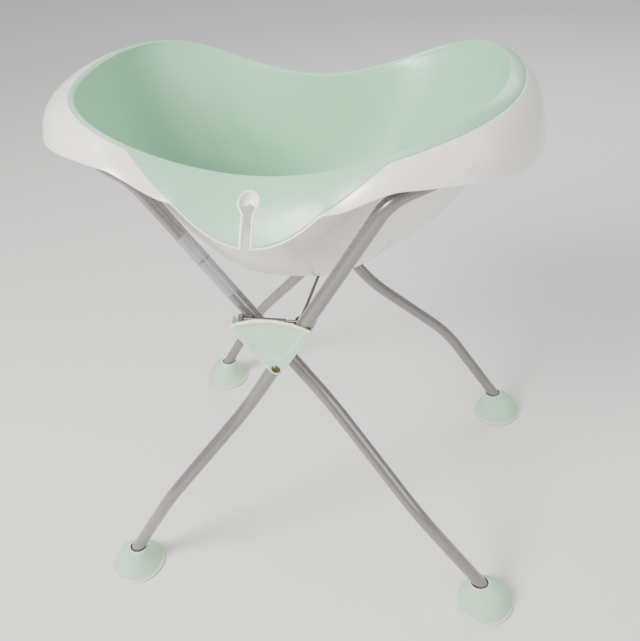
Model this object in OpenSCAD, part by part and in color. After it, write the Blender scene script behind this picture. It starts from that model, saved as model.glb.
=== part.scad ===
// Baby bathtub hung by its rim between the top loops of a folding X-shaped tube stand.
// Millimetres, +Z up. The origin is on the floor under the middle of the stand's pivot axis,
// +X runs along the tub towards its low end and -Y is its front side.

/* [Stand] */
// Height of the pivot axis above the floor
pivot_z = 500; // [440:1:560]
// Slope of the straight tubes from the horizontal, degrees
tube_slope = 57.5; // [54:0.5:60]
// Distance from the middle to the inner side of the inner frame's tubes at the pivot
inside_half_w = 164; // [155:1:185]
// Room between the tubes of the two frames at the pivot
frame_gap = 9; // [8:0.5:14]
// Outer diameter of the frame tube
tube_d = 22; // [18:0.5:24]
// Wall of the frame tube
tube_wall = 1.2; // [0.8:0.1:2]
// Drop from the pivot to the first bend of the lower leg
knee_drop = 105; // [80:1:130]
// Drop from the pivot to the second bend of the lower leg
shin_drop = 280; // [240:1:310]
// Sideways splay of the leg between its two bends
leg_splay = 69; // [50:1:90]
// Distance along X from the pivot to the second bend
shin_x = 217; // [190:1:240]
// Rise from the pivot to the upper side of the tube at the bend under the tub's rim
shoulder_top = 297; // [270:1:310]
// Distance along X from the pivot to the inner side of the top loop's far end
loop_inner = 314; // [300:1:328]
// Upward tilt of the top loop, degrees
loop_tilt = 13.4; // [8:0.2:18]
// Bend radius of the tubes at their centre line
bend_r = 58; // [40:1:70]

/* [Feet] */
// Diameter of a foot on the floor
foot_d = 100; // [80:1:110]
// Height of a foot
foot_h = 50; // [40:1:60]
// Wall of the foot's bell
foot_wall = 2.6; // [2:0.1:4]
// Thickness of the soft sole under a foot
sole_t = 2.4; // [1.5:0.1:4]

/* [Pivot and cover] */
// Diameter of the pivot bolt
bolt_d = 6; // [5:0.5:8]
// Radial clearance of the bolt in the bushes of the inner frame
bolt_play = 0.05; // [0.02:0.01:0.1]
// Height of the cover above the pivot
cover_rise = 92; // [80:1:100]
// Room between a tube and the cover's side flange at its top corner
cover_room = 0.8; // [0.5:0.1:3]
// Depth of the cover's side flanges
cover_deep = 28; // [20:1:29]
// Wall of the cover
cover_wall = 2.2; // [1.6:0.1:3]

/* [Lock bar] */
// Diameter of the lock bar's rod
rod_d = 5; // [4:0.5:6]
// Position of the catch along X from the pivot
catch_x = 38; // [32:1:44]
// Height of the catch above the pivot
catch_rise = 70; // [64:1:80]
// Distance along X from the pivot to the lock bar's own hinge
lug_x = 54; // [50:1:58]
// Height of the lock bar's hinge above the pivot
lug_rise = 68; // [62:1:76]

/* [Tub] */
// Half length of the tub at the crest of its rim
rim_half_l = 311; // [300:1:320]
// Half width of the tub at the crest of its rim
rim_half_w = 189; // [180:1:195]
// Height of the rim above the pivot axis, at the middle of the long sides
rim_up = 306; // [295:1:315]
// How far the rim rises at the two ends
rim_rise = 75; // [60:1:85]
// Offset of the rim along X, which makes the head end roomier
rim_shift = 7; // [0:0.5:10]
// How much lower the rim is at its +X end than at its middle, and higher at its -X end
rim_tilt = 6; // [0:0.5:10]
// Half length of the tub at the lower edge of its skirt
skirt_half_l = 370; // [364:1:382]
// Half width of the tub at the lower edge of its skirt
skirt_half_w = 240; // [235:1:250]
// Height of the skirt's lower edge above the pivot axis, beside the aprons
skirt_up = 283; // [275:1:290]
// How far the skirt's edge rises past the aprons
skirt_lift = 32; // [20:1:36]
// How much higher the tub's head end is than its middle, at the skirt's edge
skirt_tilt = 20; // [0:1:22]
// Height of the bowl's lowest outer point above the pivot axis
bowl_up = 77; // [76:1:100]
// Half length of the side apron at its lower corners
apron_half_l = 100; // [90:1:115]
// How far the side apron hangs below the skirt's edge
apron_drop = 48; // [35:1:55]
// How far the side apron flares out past the skirt's edge
apron_flare = 17; // [8:1:24]
// Thickness of the coloured liner
liner_t = 2.6; // [2:0.1:3.5]
// Thickness of the white outer shell
shell_t = 3; // [2:0.1:4]

/* [Keyhole slot] */
// Height of the round part's centre above the pivot axis
keyhole_up = 283; // [278:1:290]
// Diameter of the round part
keyhole_d = 25; // [20:1:30]
// Width of the slot that leads down from it
keyhole_slot_w = 12; // [8:1:16]
// Width of the white lip around the keyhole
keyhole_lip = 3; // [2:0.5:5]

/* [Drain] */
// Outer diameter of the drain's threaded neck
drain_d = 33; // [28:1:36]
// Outer diameter of the hose spigot
spigot_d = 22; // [18:1:24]
// Length of the hose spigot
spigot_l = 20; // [14:1:22]

/* [Hidden] */
tube_r = tube_d / 2;
inner_y = inside_half_w + tube_r;
outer_y = inner_y + tube_d + frame_gap;
shoulder_rise = shoulder_top - tube_r;
loop_reach = loop_inner + tube_r;
rim_z = pivot_z + rim_up;
skirt_z = pivot_z + skirt_up;
bowl_z = pivot_z + bowl_up;
keyhole_z = pivot_z + keyhole_up;
gap = 0.3;              // space between pieces that move past each other
crest_r = 5;            // radius over the crest of the tub's rim
edge_show = 3.5;        // height of the white shell seen below the apron
smooth = 48;            // $fn of small round pieces
tube_fn = 64;
seam = 0.15;            // how much thicker an elbow is than the runs that end in it
lap = 1;                // how far a run reaches into an elbow

bush_wall = 1.5;        // wall of the pivot bushes

// Points of a frame's centre line, for a frame whose upper tubes lean to +X
slope_run = 1 / tan(tube_slope);
foot_top_z = foot_h + 3;
sock_z = 12;                                     // height of a tube's end inside its foot
shin_z = pivot_z - shin_drop;
foot_x = shin_x + (shin_z - foot_top_z) * slope_run + 10;
rivet_r = 2;

function knee(y) = [-knee_drop * slope_run, -y, pivot_z - knee_drop];
function shin(y) = [-shin_x, -y - leg_splay, shin_z];
function toe(y) = [-shin_x - (shin_z - sock_z) * slope_run, -y - leg_splay, sock_z];
function shoulder(y) = [shoulder_rise * slope_run, -y, pivot_z + shoulder_rise];

// The top loop lies in a plane through both shoulders, tilted up; it is an arc tangent to two leads
loop_lead = 38;
loop_sag = (loop_reach - shoulder_rise * slope_run) / cos(loop_tilt);
function loop_r(y) = (pow(loop_sag, 2) + y * y - pow(loop_lead, 2)) / (2 * loop_sag);
function lead_angle(y) =
    let (back = loop_sag - loop_r(y))
    atan2(y, back) - asin(loop_r(y) / sqrt(back * back + y * y));
function on_loop(e, y) = [
    shoulder_rise * slope_run + e * cos(loop_tilt), y,
    pivot_z + shoulder_rise + e * sin(loop_tilt)];
function loop_start(y) = on_loop(loop_lead * cos(lead_angle(y)), -y + loop_lead * sin(lead_angle(y)));
function loop_point(y, turn) =
    let (r = loop_r(y))
    on_loop(loop_sag - r + r * cos(turn), r * sin(turn));

function unit(v) = v / norm(v);
function leg_path(y) = [toe(y), shin(y), knee(y), shoulder(y), loop_start(y)];

// ---- Tub surface -----------------------------------------------------------------------------
// "turn" goes round the tub in degrees from +X. "run" goes across the section: 0 in the middle of
// the bowl, 1 at the crest of the rim, 2 at the lower edge of the skirt.
function rim(turn) =
    let (c = cos(turn), s = sin(turn))
    [rim_half_l * c + rim_shift,
     rim_half_w * s * (1 + 0.75 * c * c - 0.12 * pow(c, 4)),
     rim_z + rim_rise * (1.87 * c * c - 0.87 * pow(c, 4)) - rim_tilt * c];

function apron(turn) =
    let (x = skirt_half_l * cos(turn) / apron_half_l)
    max(0, 1 - x * x);
function ease(f) = let (g = max(0, min(1, f))) g * g * (3 - 2 * g);
lift_run = 104;         // distance past the apron over which the skirt's edge rises clear of the tubes
function edge(turn) =
    let (c = cos(turn), hang = apron(turn), across = pow(max(0, 1 - pow(abs(c), 2.5)), 0.4),
         past = (skirt_half_l * abs(c) - apron_half_l) / lift_run)
    [skirt_half_l * c,
     sign(sin(turn)) * across * (skirt_half_w + apron_flare * hang),
     skirt_z - apron_drop * hang - skirt_tilt * c
         + skirt_lift * (ease(past) - 0.35 * ease((abs(c) - 0.65) / 0.35))];

// Skirt section: a curve that rolls over at the ends and falls almost straight at the sides
function skirt(turn, t) =
    let (a = rim(turn), b = edge(turn), roll = 0.18 + 0.6 * pow(cos(turn), 2),
         mid = (a + b) / 2, corner = [b[0], b[1], a[2]], c = mid + roll * (corner - mid))
    pow(1 - t, 2) * a + 2 * t * (1 - t) * c + t * t * b;

// Bowl section: a rounded bottom that turns into a steep wall
bowl_top_z = bowl_z + liner_t + shell_t + gap;
function wall_top(turn) =
    let (a = rim(turn), out = unit([a[0] - rim_shift, a[1], 0]))
    a - crest_r * out - [0, 0, crest_r];
function bowl(turn, t) =
    let (w = wall_top(turn), across = pow(sin(turn), 2), corner = pow(sin(2 * turn), 2),
         rise = 1 - pow(max(0, 1 - pow(t, 2.5 + 2.1 * across)), 0.61 + 0.4 * across + 0.62 * corner))
    [w[0] * t, w[1] * t, bowl_top_z + (w[2] - bowl_top_z) * rise];

function sheet(turn, run) =
    run <= 0.97 ? bowl(turn, run / 0.97)
    : run < 1 ? let (a = rim(turn), w = wall_top(turn), f = (run - 0.97) / 0.03)
        [w[0] + (a[0] - w[0]) * (1 - cos(90 * f)),
         w[1] + (a[1] - w[1]) * (1 - cos(90 * f)),
         w[2] + (a[2] - w[2]) * sin(90 * f)]
    : skirt(turn, run - 1);

// Direction away from the sheet on its upper and outer side
function up_side(turn, run) =
    let (da = 0.4, dr = 0.004, r0 = max(0.02, run - dr), r1 = min(2, run + dr))
    unit(cross(sheet(turn, r1) - sheet(turn, r0), sheet(turn + da, run) - sheet(turn - da, run)));
function under(turn, run, depth) = sheet(turn, run) - depth * up_side(turn, max(run, 0.05));

apron_turn = acos(apron_half_l / skirt_half_l);  // where the apron's lower corner is
collar_turn = 57;                                // where the apron's upper corner is
function collar_run(turn) = 0.16 + 0.07 * cos(turn);    // width of the coloured collar at the ends
wing_steps = 9;
apron_steps = 5;
quarter = concat(
    [for (i = [0 : wing_steps - 1]) apron_turn * i / wing_steps],
    [for (i = [0 : apron_steps - 1]) apron_turn + (90 - apron_turn) * i / apron_steps]);
turns = [for (q = [0 : 3], i = [0 : len(quarter) - 1])
    q % 2 == 0 ? 90 * q + quarter[i] : 90 * (q + 1) - (i == 0 ? 90 : quarter[len(quarter) - i])];

function from_end(turn) = let (m = turn % 180) min(m, 180 - m);
function liner_end(turn) =
    let (f = (from_end(turn) - collar_turn) / (apron_turn - collar_turn),
         full = 1 - edge_show / norm(edge(turn) - rim(turn)))
    collar_run(turn) + (full - collar_run(turn)) * max(0, min(1, f));

bowl_runs = [0.12, 0.3, 0.45, 0.58, 0.7, 0.79, 0.86, 0.92, 0.955];
crest_runs = [0.97, 0.982, 1];
skirt_parts = [0.14, 0.34, 0.56, 0.78, 1];

// Closed skin from rings of points: every ring runs round the tub, the first and last close at poles.
// From ring "back" on, the rings run back along the other side, and cells are split the other way, so
// that two skins which lie on each other have the same facets
module skin(rings, first_pole, last_pole, back) {
    n = len(rings[0]);
    m = len(rings);
    points = concat([for (ring = rings) each ring], [first_pole, last_pole]);
    faces = concat(
        [for (k = [0 : m - 2], i = [0 : n - 1]) let (j = (i + 1) % n)
            [k * n + i, (k + 1) * n + i, (k < back ? k : k + 1) * n + j]],
        [for (k = [0 : m - 2], i = [0 : n - 1]) let (j = (i + 1) % n)
            [k * n + j, (k < back ? k + 1 : k) * n + i, (k + 1) * n + j]],
        [for (i = [0 : n - 1]) [m * n, i, (i + 1) % n]],
        [for (i = [0 : n - 1]) [m * n + 1, (m - 1) * n + (i + 1) % n, (m - 1) * n + i]]);
    polyhedron(points, faces, convexity = 6);
}

// ---- General shapes --------------------------------------------------------------------------
// Turns +Z into the given direction, with +X kept as close to "side" as it can be
module aim(direction, side) {
    z = unit(direction);
    x = unit(side - (side * z) * z);
    y = cross(z, x);
    multmatrix([[x[0], y[0], z[0], 0], [x[1], y[1], z[1], 0], [x[2], y[2], z[2], 0], [0, 0, 0, 1]])
        children();
}

// Cylinder between two points
module rod_between(a, b, r) {
    d = b - a;
    translate(a) aim(d, abs(unit(d)[0]) > 0.9 ? [0, 1, 0] : [1, 0, 0])
        cylinder(h = norm(d), r = r, $fn = tube_fn);
}

function turn_angle(a, b, c) = acos(unit(b - a) * unit(c - b));
function bend_back(a, b, c, r) = r * tan(turn_angle(a, b, c) / 2);

// Round elbow at b between the runs a-b and b-c
module elbow(a, b, c, r, tube) {
    d1 = unit(b - a);
    turn = turn_angle(a, b, c);
    inward = unit(unit(c - b) - (unit(c - b) * d1) * d1);
    start = b - d1 * bend_back(a, b, c, r);
    translate(start + inward * r) aim(cross(inward, -d1), -inward)
        rotate_extrude(angle = turn, $fn = 128)
        translate([r, 0]) circle(r = tube + seam, $fn = tube_fn);
}

// Bent bar along a path. Its straight runs end inside the elbows, which are a hair thicker, and
// "extra" lengthens both ends
module bent_bar(path, r, bend, extra = 0) {
    n = len(path);
    for (i = [0 : n - 2]) {
        a = path[i];
        b = path[i + 1];
        d = unit(b - a);
        from = i == 0 ? a - extra * d : a + d * (bend_back(path[i - 1], a, b, bend) - lap);
        to = i == n - 2 ? b + extra * d : b - d * (bend_back(a, b, path[i + 2], bend) - lap);
        rod_between(from, to, r);
    }
    for (i = [1 : n - 2]) elbow(path[i - 1], path[i], path[i + 1], bend, r);
}

module bent_tube(path) {
    difference() {
        bent_bar(path, tube_r, bend_r);
        bent_bar(path, tube_r - tube_wall, bend_r, 1);
    }
}

// Cylinder along Y between two distances on the front side, at x and z
module cross_pin(x, z, y_from, y_to, r, fn = smooth) {
    translate([x, -y_to, z]) rotate([-90, 0, 0]) cylinder(h = y_to - y_from, r = r, $fn = fn);
}

// Both sides of the stand from the front one
module both_sides() {
    children();
    mirror([0, 1, 0]) children();
}

function lean(v) = [-v[0], v[1], v[2]];

// ---- Stand -----------------------------------------------------------------------------------
module leg(y, bore, rivet_at, rivet_from) {
    difference() {
        bent_tube(leg_path(y));
        cross_pin(0, pivot_z, y - tube_r - 2, y + tube_r + 2, bore);
        cross_pin(rivet_at[0], rivet_at[2], rivet_from, y + tube_r + 2, rivet_r);
    }
}
module outer_leg() { leg(outer_y, bolt_d / 2, catch_rivet_at, outer_y - tube_r - 2); }
module inner_leg() { leg(inner_y, bolt_d / 2 + bush_wall, lean(lug_rivet_at), inner_y); }

module top_loop(y) {
    half = 90 - lead_angle(y);
    r = loop_r(y);
    translate(on_loop(loop_sag - r, 0)) rotate([0, -loop_tilt, 0]) rotate([0, 0, -half])
        rotate_extrude(angle = 2 * half, $fn = 128) translate([r, 0]) difference() {
            circle(r = tube_r, $fn = tube_fn);
            circle(r = tube_r - tube_wall, $fn = tube_fn);
        }
}

// Short inner sleeve that joins the leg to the loop
module joint_sleeves(y) {
    d = unit(loop_start(y) - shoulder(y));
    both_sides() difference() {
        rod_between(loop_start(y) - 14 * d, loop_start(y), tube_r - tube_wall);
        rod_between(loop_start(y) - 15 * d, loop_start(y) + d, tube_r - tube_wall - 1);
    }
}

// Bell-shaped foot with a slanted socket for the tube
module foot(y) {
    top_r = tube_r + 4.5;
    base = [-foot_x, -y - leg_splay, 0];
    d = unit(shin(y) - toe(y));
    difference() {
        union() {
            translate(base) rotate_extrude($fn = 96) polygon([
                [0, sole_t], [foot_d / 2 - 1, sole_t], [foot_d / 2, sole_t + 1.4],
                [foot_d / 2 - 1, sole_t + 3], [foot_d / 2 - 5, sole_t + 3.6],
                [top_r + 6, foot_h * 0.72], [top_r, foot_h], [top_r - foot_wall, foot_h],
                [top_r + 6 - foot_wall, foot_h * 0.72 - 1], [foot_d / 2 - 9, sole_t + 5],
                [foot_d / 2 - 11, sole_t + foot_wall], [0, sole_t + foot_wall]]);
            intersection() {
                rod_between(toe(y) - 12 * d, toe(y) + 24 * d, tube_r + 2);
                translate(base) translate([0, 0, sole_t]) cylinder(
                    h = foot_h * 0.7, r1 = foot_d / 2 - 8, r2 = top_r + 4, $fn = 96);
            }
        }
        rod_between(toe(y), toe(y) + 80 * d, tube_r);
    }
}

module foot_sole(y) {
    translate([-foot_x, -y - leg_splay, 0]) difference() {
        cylinder(h = sole_t, r = foot_d / 2 - 3, $fn = 96);
        translate([0, 0, -1]) cylinder(h = sole_t + 2, r = foot_d / 2 - 16, $fn = 96);
    }
}

// Saddle clipped on the loop, with a round head that carries the tub's rim
saddle_turn = 17;       // its place round the loop
saddle_wall = 2.2;      // its outer radius less the tube's
saddle_play = 0.5;      // room of the curved loop in its straight bore
head_turn = 13;         // the place of its head round the tub
head_r = 6;
head_run = 1.26;        // how far out on the skirt it is
head_gap = 1.5;         // room above the head for the faceted underside of the tub
module saddle(seat, along, head) {
    up = unit(head - seat);
    difference() {
        union() {
            rod_between(seat - 11 * unit(along), seat + 11 * unit(along), tube_r + saddle_wall);
            rod_between(seat + (tube_r + saddle_wall / 2) * up, head, 4.5);
            rod_between(head - 2 * up, head + 2 * up, head_r);
        }
        rod_between(seat - 12 * unit(along), seat + 12 * unit(along), tube_r + saddle_play);
        translate(seat - (tube_r + 2) * up) aim(up, along) cube([26, 12, 8], center = true);
    }
}
function saddle_along(y) = loop_point(y, saddle_turn + 1) - loop_point(y, saddle_turn - 1);
function saddle_head(turn) = under(turn, head_run, liner_t + gap + shell_t + head_gap + norm([head_r, 2]));

// ---- Cover, bolt and lock --------------------------------------------------------------------
cover_tip_r = tube_r + 1;
cover_corner_r = 4;
cover_corner = [(cover_rise - 18) * slope_run
    + (tube_r + cover_room + cover_wall - cover_corner_r) / sin(tube_slope), cover_rise - 18];
cover_face_y = outer_y + tube_r + 5;
cover_back_y = cover_face_y - cover_deep;

function arc(c, r, a0, a1, n) = [for (i = [0 : n]) let (a = a0 + (a1 - a0) * i / n)
    c + r * [cos(a), sin(a)]];

// Outline of the cover in X and Z about the pivot: round tip, straight sides and a crowned top
function cover_outline(inset) =
    let (corner = cover_corner, r = max(0.5, cover_corner_r - inset),
         side = atan2(corner[1], corner[0]) - 90
             + asin((cover_tip_r - cover_corner_r) / norm(corner)),
         crown = cover_rise - corner[1] - cover_corner_r,
         crown_r = (pow(corner[0], 2) + crown * crown) / (2 * crown),
         crown_z = corner[1] + crown - crown_r,
         lean = [corner[0], corner[1] - crown_z] / crown_r + [cos(side), sin(side)],
         centre = corner - (inset + r - cover_corner_r) * lean / (lean * lean / 2),
         swing = atan2(centre[0], centre[1] - crown_z))
    concat(arc([0, 0], cover_tip_r - inset, 180 - side, 360 + side, 16),
        arc(centre, r, side, 90 - swing, 5),
        [for (i = [1 : 11]) let (a = 90 - swing + 2 * swing * i / 12)
            [0, crown_z] + (crown_r + cover_corner_r - inset) * [cos(a), sin(a)]],
        arc([-centre[0], centre[1]], r, 90 + swing, 180 - side, 5));

module cover_plate(y_from, y_to, inset) {
    translate([0, -y_from, pivot_z]) rotate([90, 0, 0])
        linear_extrude(y_to - y_from) polygon(cover_outline(inset));
}

module cover() {
    flange_from = 50;
    difference() {
        cover_plate(cover_back_y, cover_face_y, 0);
        cover_plate(cover_back_y - 1, cover_face_y - cover_wall, cover_wall);
        // open top, and no side flanges near the tip where the legs leave
        translate([0, -cover_face_y + cover_wall + 50, pivot_z + cover_corner[1] + 50])
            cube([4 * cover_rise, 100, 100], center = true);
        translate([0, -cover_face_y + cover_wall + 50, pivot_z + flange_from - 50])
            cube([4 * cover_rise, 100, 100], center = true);
        // shallow dish in the face
        cover_plate(cover_face_y - 0.8, cover_face_y + 1, 7);
        cross_pin(0, pivot_z, cover_back_y - 1, cover_face_y + 1, bolt_d / 2);
    }
    difference() {
        cross_pin(0, pivot_z, outer_y + tube_r, cover_face_y - cover_wall, cover_tip_r - 3);
        cross_pin(0, pivot_z, outer_y, cover_face_y, bolt_d / 2);
    }
}

nut_t = 5;
washer_t = 1.2;
washer_y = inner_y - tube_r - gap - washer_t;
module pivot_bolt() {
    cross_pin(0, pivot_z, washer_y - nut_t - 2, cover_face_y, bolt_d / 2);
    difference() {
        translate([0, -cover_face_y, pivot_z]) rotate([90, 0, 0]) rotate_extrude($fn = smooth)
            polygon([[0, 0], [bolt_d + 1.2, 0], [bolt_d + 1.2, 0.8], [bolt_d - 0.5, 2.8], [0, 3.2]]);
        for (a = [0, 90]) translate([0, -cover_face_y - 2.8, pivot_z]) rotate([0, a, 0])
            cube([6, 2, 1.2], center = true);
    }
}

module pivot_nut() {
    difference() {
        cross_pin(0, pivot_z, washer_y - nut_t, washer_y, bolt_d * 0.92, 6);
        cross_pin(0, pivot_z, washer_y - nut_t - 1, washer_y + 1, bolt_d / 2);
    }
}

module ring_at(x, z, y_from, y_to, r_out, r_in) {
    difference() {
        cross_pin(x, z, y_from, y_to, r_out);
        cross_pin(x, z, y_from - 1, y_to + 1, r_in);
    }
}

// Play between the frames is split: arms of the bar, then the catch plate, then the inner tube
arm_y = outer_y - tube_r - 2 - rod_d / 2;
plate_t = 1.4;
catch_play = 1;                                  // room of the bar in its catch
plate_y = arm_y - rod_d / 2 - gap - plate_t;
rivet_l = 46;                                    // distance of the catch rivet from the pivot
catch_rivet_at = [rivet_l * cos(tube_slope), 0, pivot_z + rivet_l * sin(tube_slope)];
slot_lean = 64;                                  // direction in which the bar leaves the catch
catch_at = [catch_x, 0, pivot_z + catch_rise];

// Flat plate in X and Z from rounds at given places
module plate(spots, r) {
    translate([0, -plate_y, 0]) rotate([90, 0, 0]) linear_extrude(plate_t) hull()
        for (s = spots) translate([s[0], s[2]]) circle(r = r, $fn = 32);
}

module bar_catch() {
    difference() {
        union() {
            plate([catch_rivet_at, catch_at], 8);
            cross_pin(catch_rivet_at[0], catch_rivet_at[2], plate_y + plate_t, outer_y - tube_r + 3, 5);
        }
        cross_pin(catch_at[0], catch_at[2], plate_y - 1, plate_y + plate_t + 1, rod_d / 2 + catch_play);
        translate([catch_at[0], -plate_y - plate_t / 2, catch_at[2]]) rotate([0, -slot_lean, 0])
            translate([10, 0, 0]) cube([20, 4, rod_d + 2 * catch_play], center = true);
        cross_pin(catch_rivet_at[0], catch_rivet_at[2], plate_y - 1, outer_y, rivet_r);
        bent_bar(leg_path(outer_y), tube_r, bend_r);
    }
}

module catch_rivet() {
    cross_pin(catch_rivet_at[0], catch_rivet_at[2], plate_y, outer_y + tube_r + 0.2, rivet_r);
    translate(catch_rivet_at - [0, outer_y + tube_r, 0]) rotate([90, 0, 0])
        rotate_extrude($fn = smooth) polygon([[0, 0], [4, 0], [3.2, 1.2], [1.4, 2], [0, 2]]);
}

lug_at = [-lug_x, 0, pivot_z + lug_rise];
lug_rivet_at = [-lug_rise * slope_run, 0, pivot_z + lug_rise];
module bar_lug() {
    difference() {
        union() {
            plate([lug_rivet_at, lug_at], 7);
            cross_pin(lug_rivet_at[0], lug_at[2], inner_y + tube_r - 4, plate_y, 5);
        }
        lean_x() bent_bar(leg_path(inner_y), tube_r, bend_r);
        cross_pin(lug_at[0], lug_at[2], plate_y - 1, plate_y + plate_t + 1, rod_d / 2);
        cross_pin(lug_rivet_at[0], lug_at[2], inner_y, plate_y + plate_t + 1, rivet_r);
    }
}

// Pin that the lock bar swings on, and the rivet that holds the lug to the tube
module lug_pin() {
    cross_pin(lug_at[0], lug_at[2], plate_y, arm_y + rod_d / 2 + 0.2, rod_d / 2);
    cross_pin(lug_at[0], lug_at[2], arm_y + rod_d / 2 + 0.2, arm_y + rod_d / 2 + 0.9, rod_d / 2 + 1.2);
    cross_pin(lug_rivet_at[0], lug_at[2], inner_y, plate_y + plate_t, rivet_r);
}

module lean_x() {
    mirror([1, 0, 0]) children();
}

module lock_rod() {
    reach = catch_at - lug_at;
    bar_bend = 4;
    front = [0, -arm_y, 0];
    eye_r = rod_d / 2 + 2.6;
    eye_t = rod_d - 0.6;
    start = lug_at + front + unit(reach) * (eye_r - 0.8);
    difference() {
        union() {
            bent_bar([start, catch_at + front, catch_at - front, start - 2 * front], rod_d / 2, bar_bend);
            both_sides() cross_pin(lug_at[0], lug_at[2], arm_y - eye_t / 2, arm_y + eye_t / 2, eye_r);
        }
        both_sides() cross_pin(lug_at[0], lug_at[2], arm_y - rod_d, arm_y + rod_d, rod_d / 2 + bolt_play);
    }
}

// Plastic grips that thicken the arms of the bar
module bar_grip() {
    d = unit(catch_at - lug_at);
    a = lug_at + [0, -arm_y, 0] + 36 * d;
    difference() {
        rod_between(a, a + 34 * d, rod_d / 2 + 1.4);
        rod_between(a - d, a + 35 * d, rod_d / 2);
        // flat beside the frame tube
        translate(a + [-40, -rod_d / 2 - 1.7 - 2, -10]) cube([120, 2, 20]);
        translate(a + [-40, rod_d / 2 + 0.1, -10]) cube([120, 3, 20]);
    }
}

// Blank film label wrapped on the upper tube of the inner frame, between two heights
label_t = 0.25;
module tube_label(low, high) {
    bore = tube_r + seam;
    d = [cos(tube_slope), 0, sin(tube_slope)];
    function at(h) = [(h - pivot_z) * slope_run, -inner_y, h];
    lean_x() difference() {
        rod_between(at(low), at(high), bore + label_t);
        rod_between(at(low) - d, at(high) + d, bore);
        translate([0, -inner_y + 4 + 20, pivot_z + 150]) cube([600, 40, 300], center = true);
    }
}

// ---- Tub -------------------------------------------------------------------------------------
module keyhole(grow) {
    squash = 0.75;      // height of the round part over its width from the front, as the apron slopes
    r = keyhole_d / 2 + grow;
    w = keyhole_slot_w + 2 * grow;
    low = skirt_z - apron_drop - 20;
    translate([0, -edge_front() + 75, 0]) rotate([90, 0, 0]) linear_extrude(100) union() {
        translate([0, keyhole_z]) scale([1, squash]) circle(r = r, $fn = smooth);
        translate([-w / 2, low]) square([w, keyhole_z - low]);
    }
}
function edge_front() = skirt_half_w + apron_flare;

module drain_hole(r) {
    translate([0, 0, bowl_z - 20]) cylinder(h = 60, r = r, $fn = smooth);
}

module liner_skin() {
    rings = concat(
        [for (run = bowl_runs) [for (a = turns) sheet(a, run)]],
        [for (run = crest_runs) [for (a = turns) sheet(a, run)]],
        [for (p = skirt_parts) [for (a = turns) sheet(a, 1 + p * liner_end(a))]],
        [for (i = [1 : len(skirt_parts)]) let (p = skirt_parts[len(skirt_parts) - i])
            [for (a = turns) under(a, 1 + p * liner_end(a), liner_t)]],
        [[for (a = turns) sheet(a, 1) - [0, 0, liner_t]]],
        [for (i = [1 : len(bowl_runs)]) let (run = bowl_runs[len(bowl_runs) - i])
            [for (a = turns) under(a, run, liner_t)]]);
    bottom = sheet(0, 0);
    difference() {
        skin(rings, bottom, bottom - [0, 0, liner_t], len(bowl_runs) + len(crest_runs) + len(skirt_parts));
        keyhole(keyhole_lip);
        drain_hole(drain_d / 2 + 0.2);
    }
}

module shell_skin() {
    lay = liner_t + gap;
    // the shell lies under the liner, and comes up flush with it outside the coloured area
    function top(a, run) = under(a, run, run > 1.02 + liner_end(a) ? 0 : lay);
    function step_run(a, p) = let (e = liner_end(a)) 1 + e + 0.03 + (1 - e - 0.03) * p;
    rings = concat(
        [for (run = bowl_runs) [for (a = turns) under(a, run, lay)]],
        [[for (a = turns) sheet(a, 1) - [0, 0, lay]]],
        [for (p = skirt_parts) [for (a = turns) under(a, 1 + p * (liner_end(a) + 0.005), lay)]],
        [for (p = [0, 0.33, 0.66, 1]) [for (a = turns) under(a, min(2, step_run(a, p)), 0)]],
        [for (p = [1, 0.75, 0.5, 0.25, 0.1]) [for (a = turns) under(a, 1 + p, lay + shell_t)]],
        [for (i = [2 : len(bowl_runs)]) let (run = bowl_runs[len(bowl_runs) - i])
            [for (a = turns) under(a, run, lay + shell_t)]]);
    bottom = sheet(0, 0) - [0, 0, lay];
    difference() {
        skin(rings, bottom, bottom - [0, 0, shell_t], len(rings));
        keyhole(0);
        drain_hole(drain_d / 2 + 0.2);
    }
}

drain_top = bowl_top_z + 1.2;
neck_low = bowl_z - 14;
module drain_neck() {
    rotate_extrude($fn = 64) polygon([
        [spigot_d / 2 - 2, neck_low - 3 - spigot_l], [spigot_d / 2, neck_low - 3 - spigot_l],
        [spigot_d / 2, neck_low - 3], [drain_d / 2, neck_low], [drain_d / 2, drain_top - 0.4],
        [drain_d / 2 + 6, drain_top - 0.4], [drain_d / 2 + 5, drain_top + 1.2],
        [drain_d / 2 - 3, drain_top + 0.6], [drain_d / 2 - 3, neck_low + 2],
        [spigot_d / 2 - 2, neck_low - 1]]);
}

module gasket_ring() {
    translate([0, 0, bowl_z - 2.6]) difference() {
        cylinder(h = 2, r = drain_d / 2 + 6, $fn = smooth);
        translate([0, 0, -1]) cylinder(h = 4, r = drain_d / 2, $fn = smooth);
    }
}

module neck_nut() {
    translate([0, 0, bowl_z - 9.6]) difference() {
        union() {
            cylinder(h = 7, r = drain_d / 2 + 5, $fn = smooth);
            for (a = [0 : 60 : 300]) rotate([0, 0, a]) translate([drain_d / 2 + 5, 0, 0])
                cylinder(h = 7, r = 2, $fn = 24);
        }
        translate([0, 0, -1]) cylinder(h = 9, r = drain_d / 2, $fn = smooth);
    }
}

module plug() {
    bore_r = drain_d / 2 - 3;
    translate([0, 0, drain_top]) rotate_extrude($fn = 64) polygon([
        [0, -6], [bore_r - 1.2, -6], [bore_r - 0.3, 0.9], [bore_r + 2, 1.7], [bore_r + 1.6, 3.2],
        [5, 4.2], [4, 5], [4, 9], [6, 10.5], [5, 12.5], [0, 13]]);
}

steel = "#8c8a87";
mint = "#c4dccb";
white = "#f0eee6";
brass = "#6b5233";
module mirror_y() { mirror([0, 1, 0]) children(); }

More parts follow.
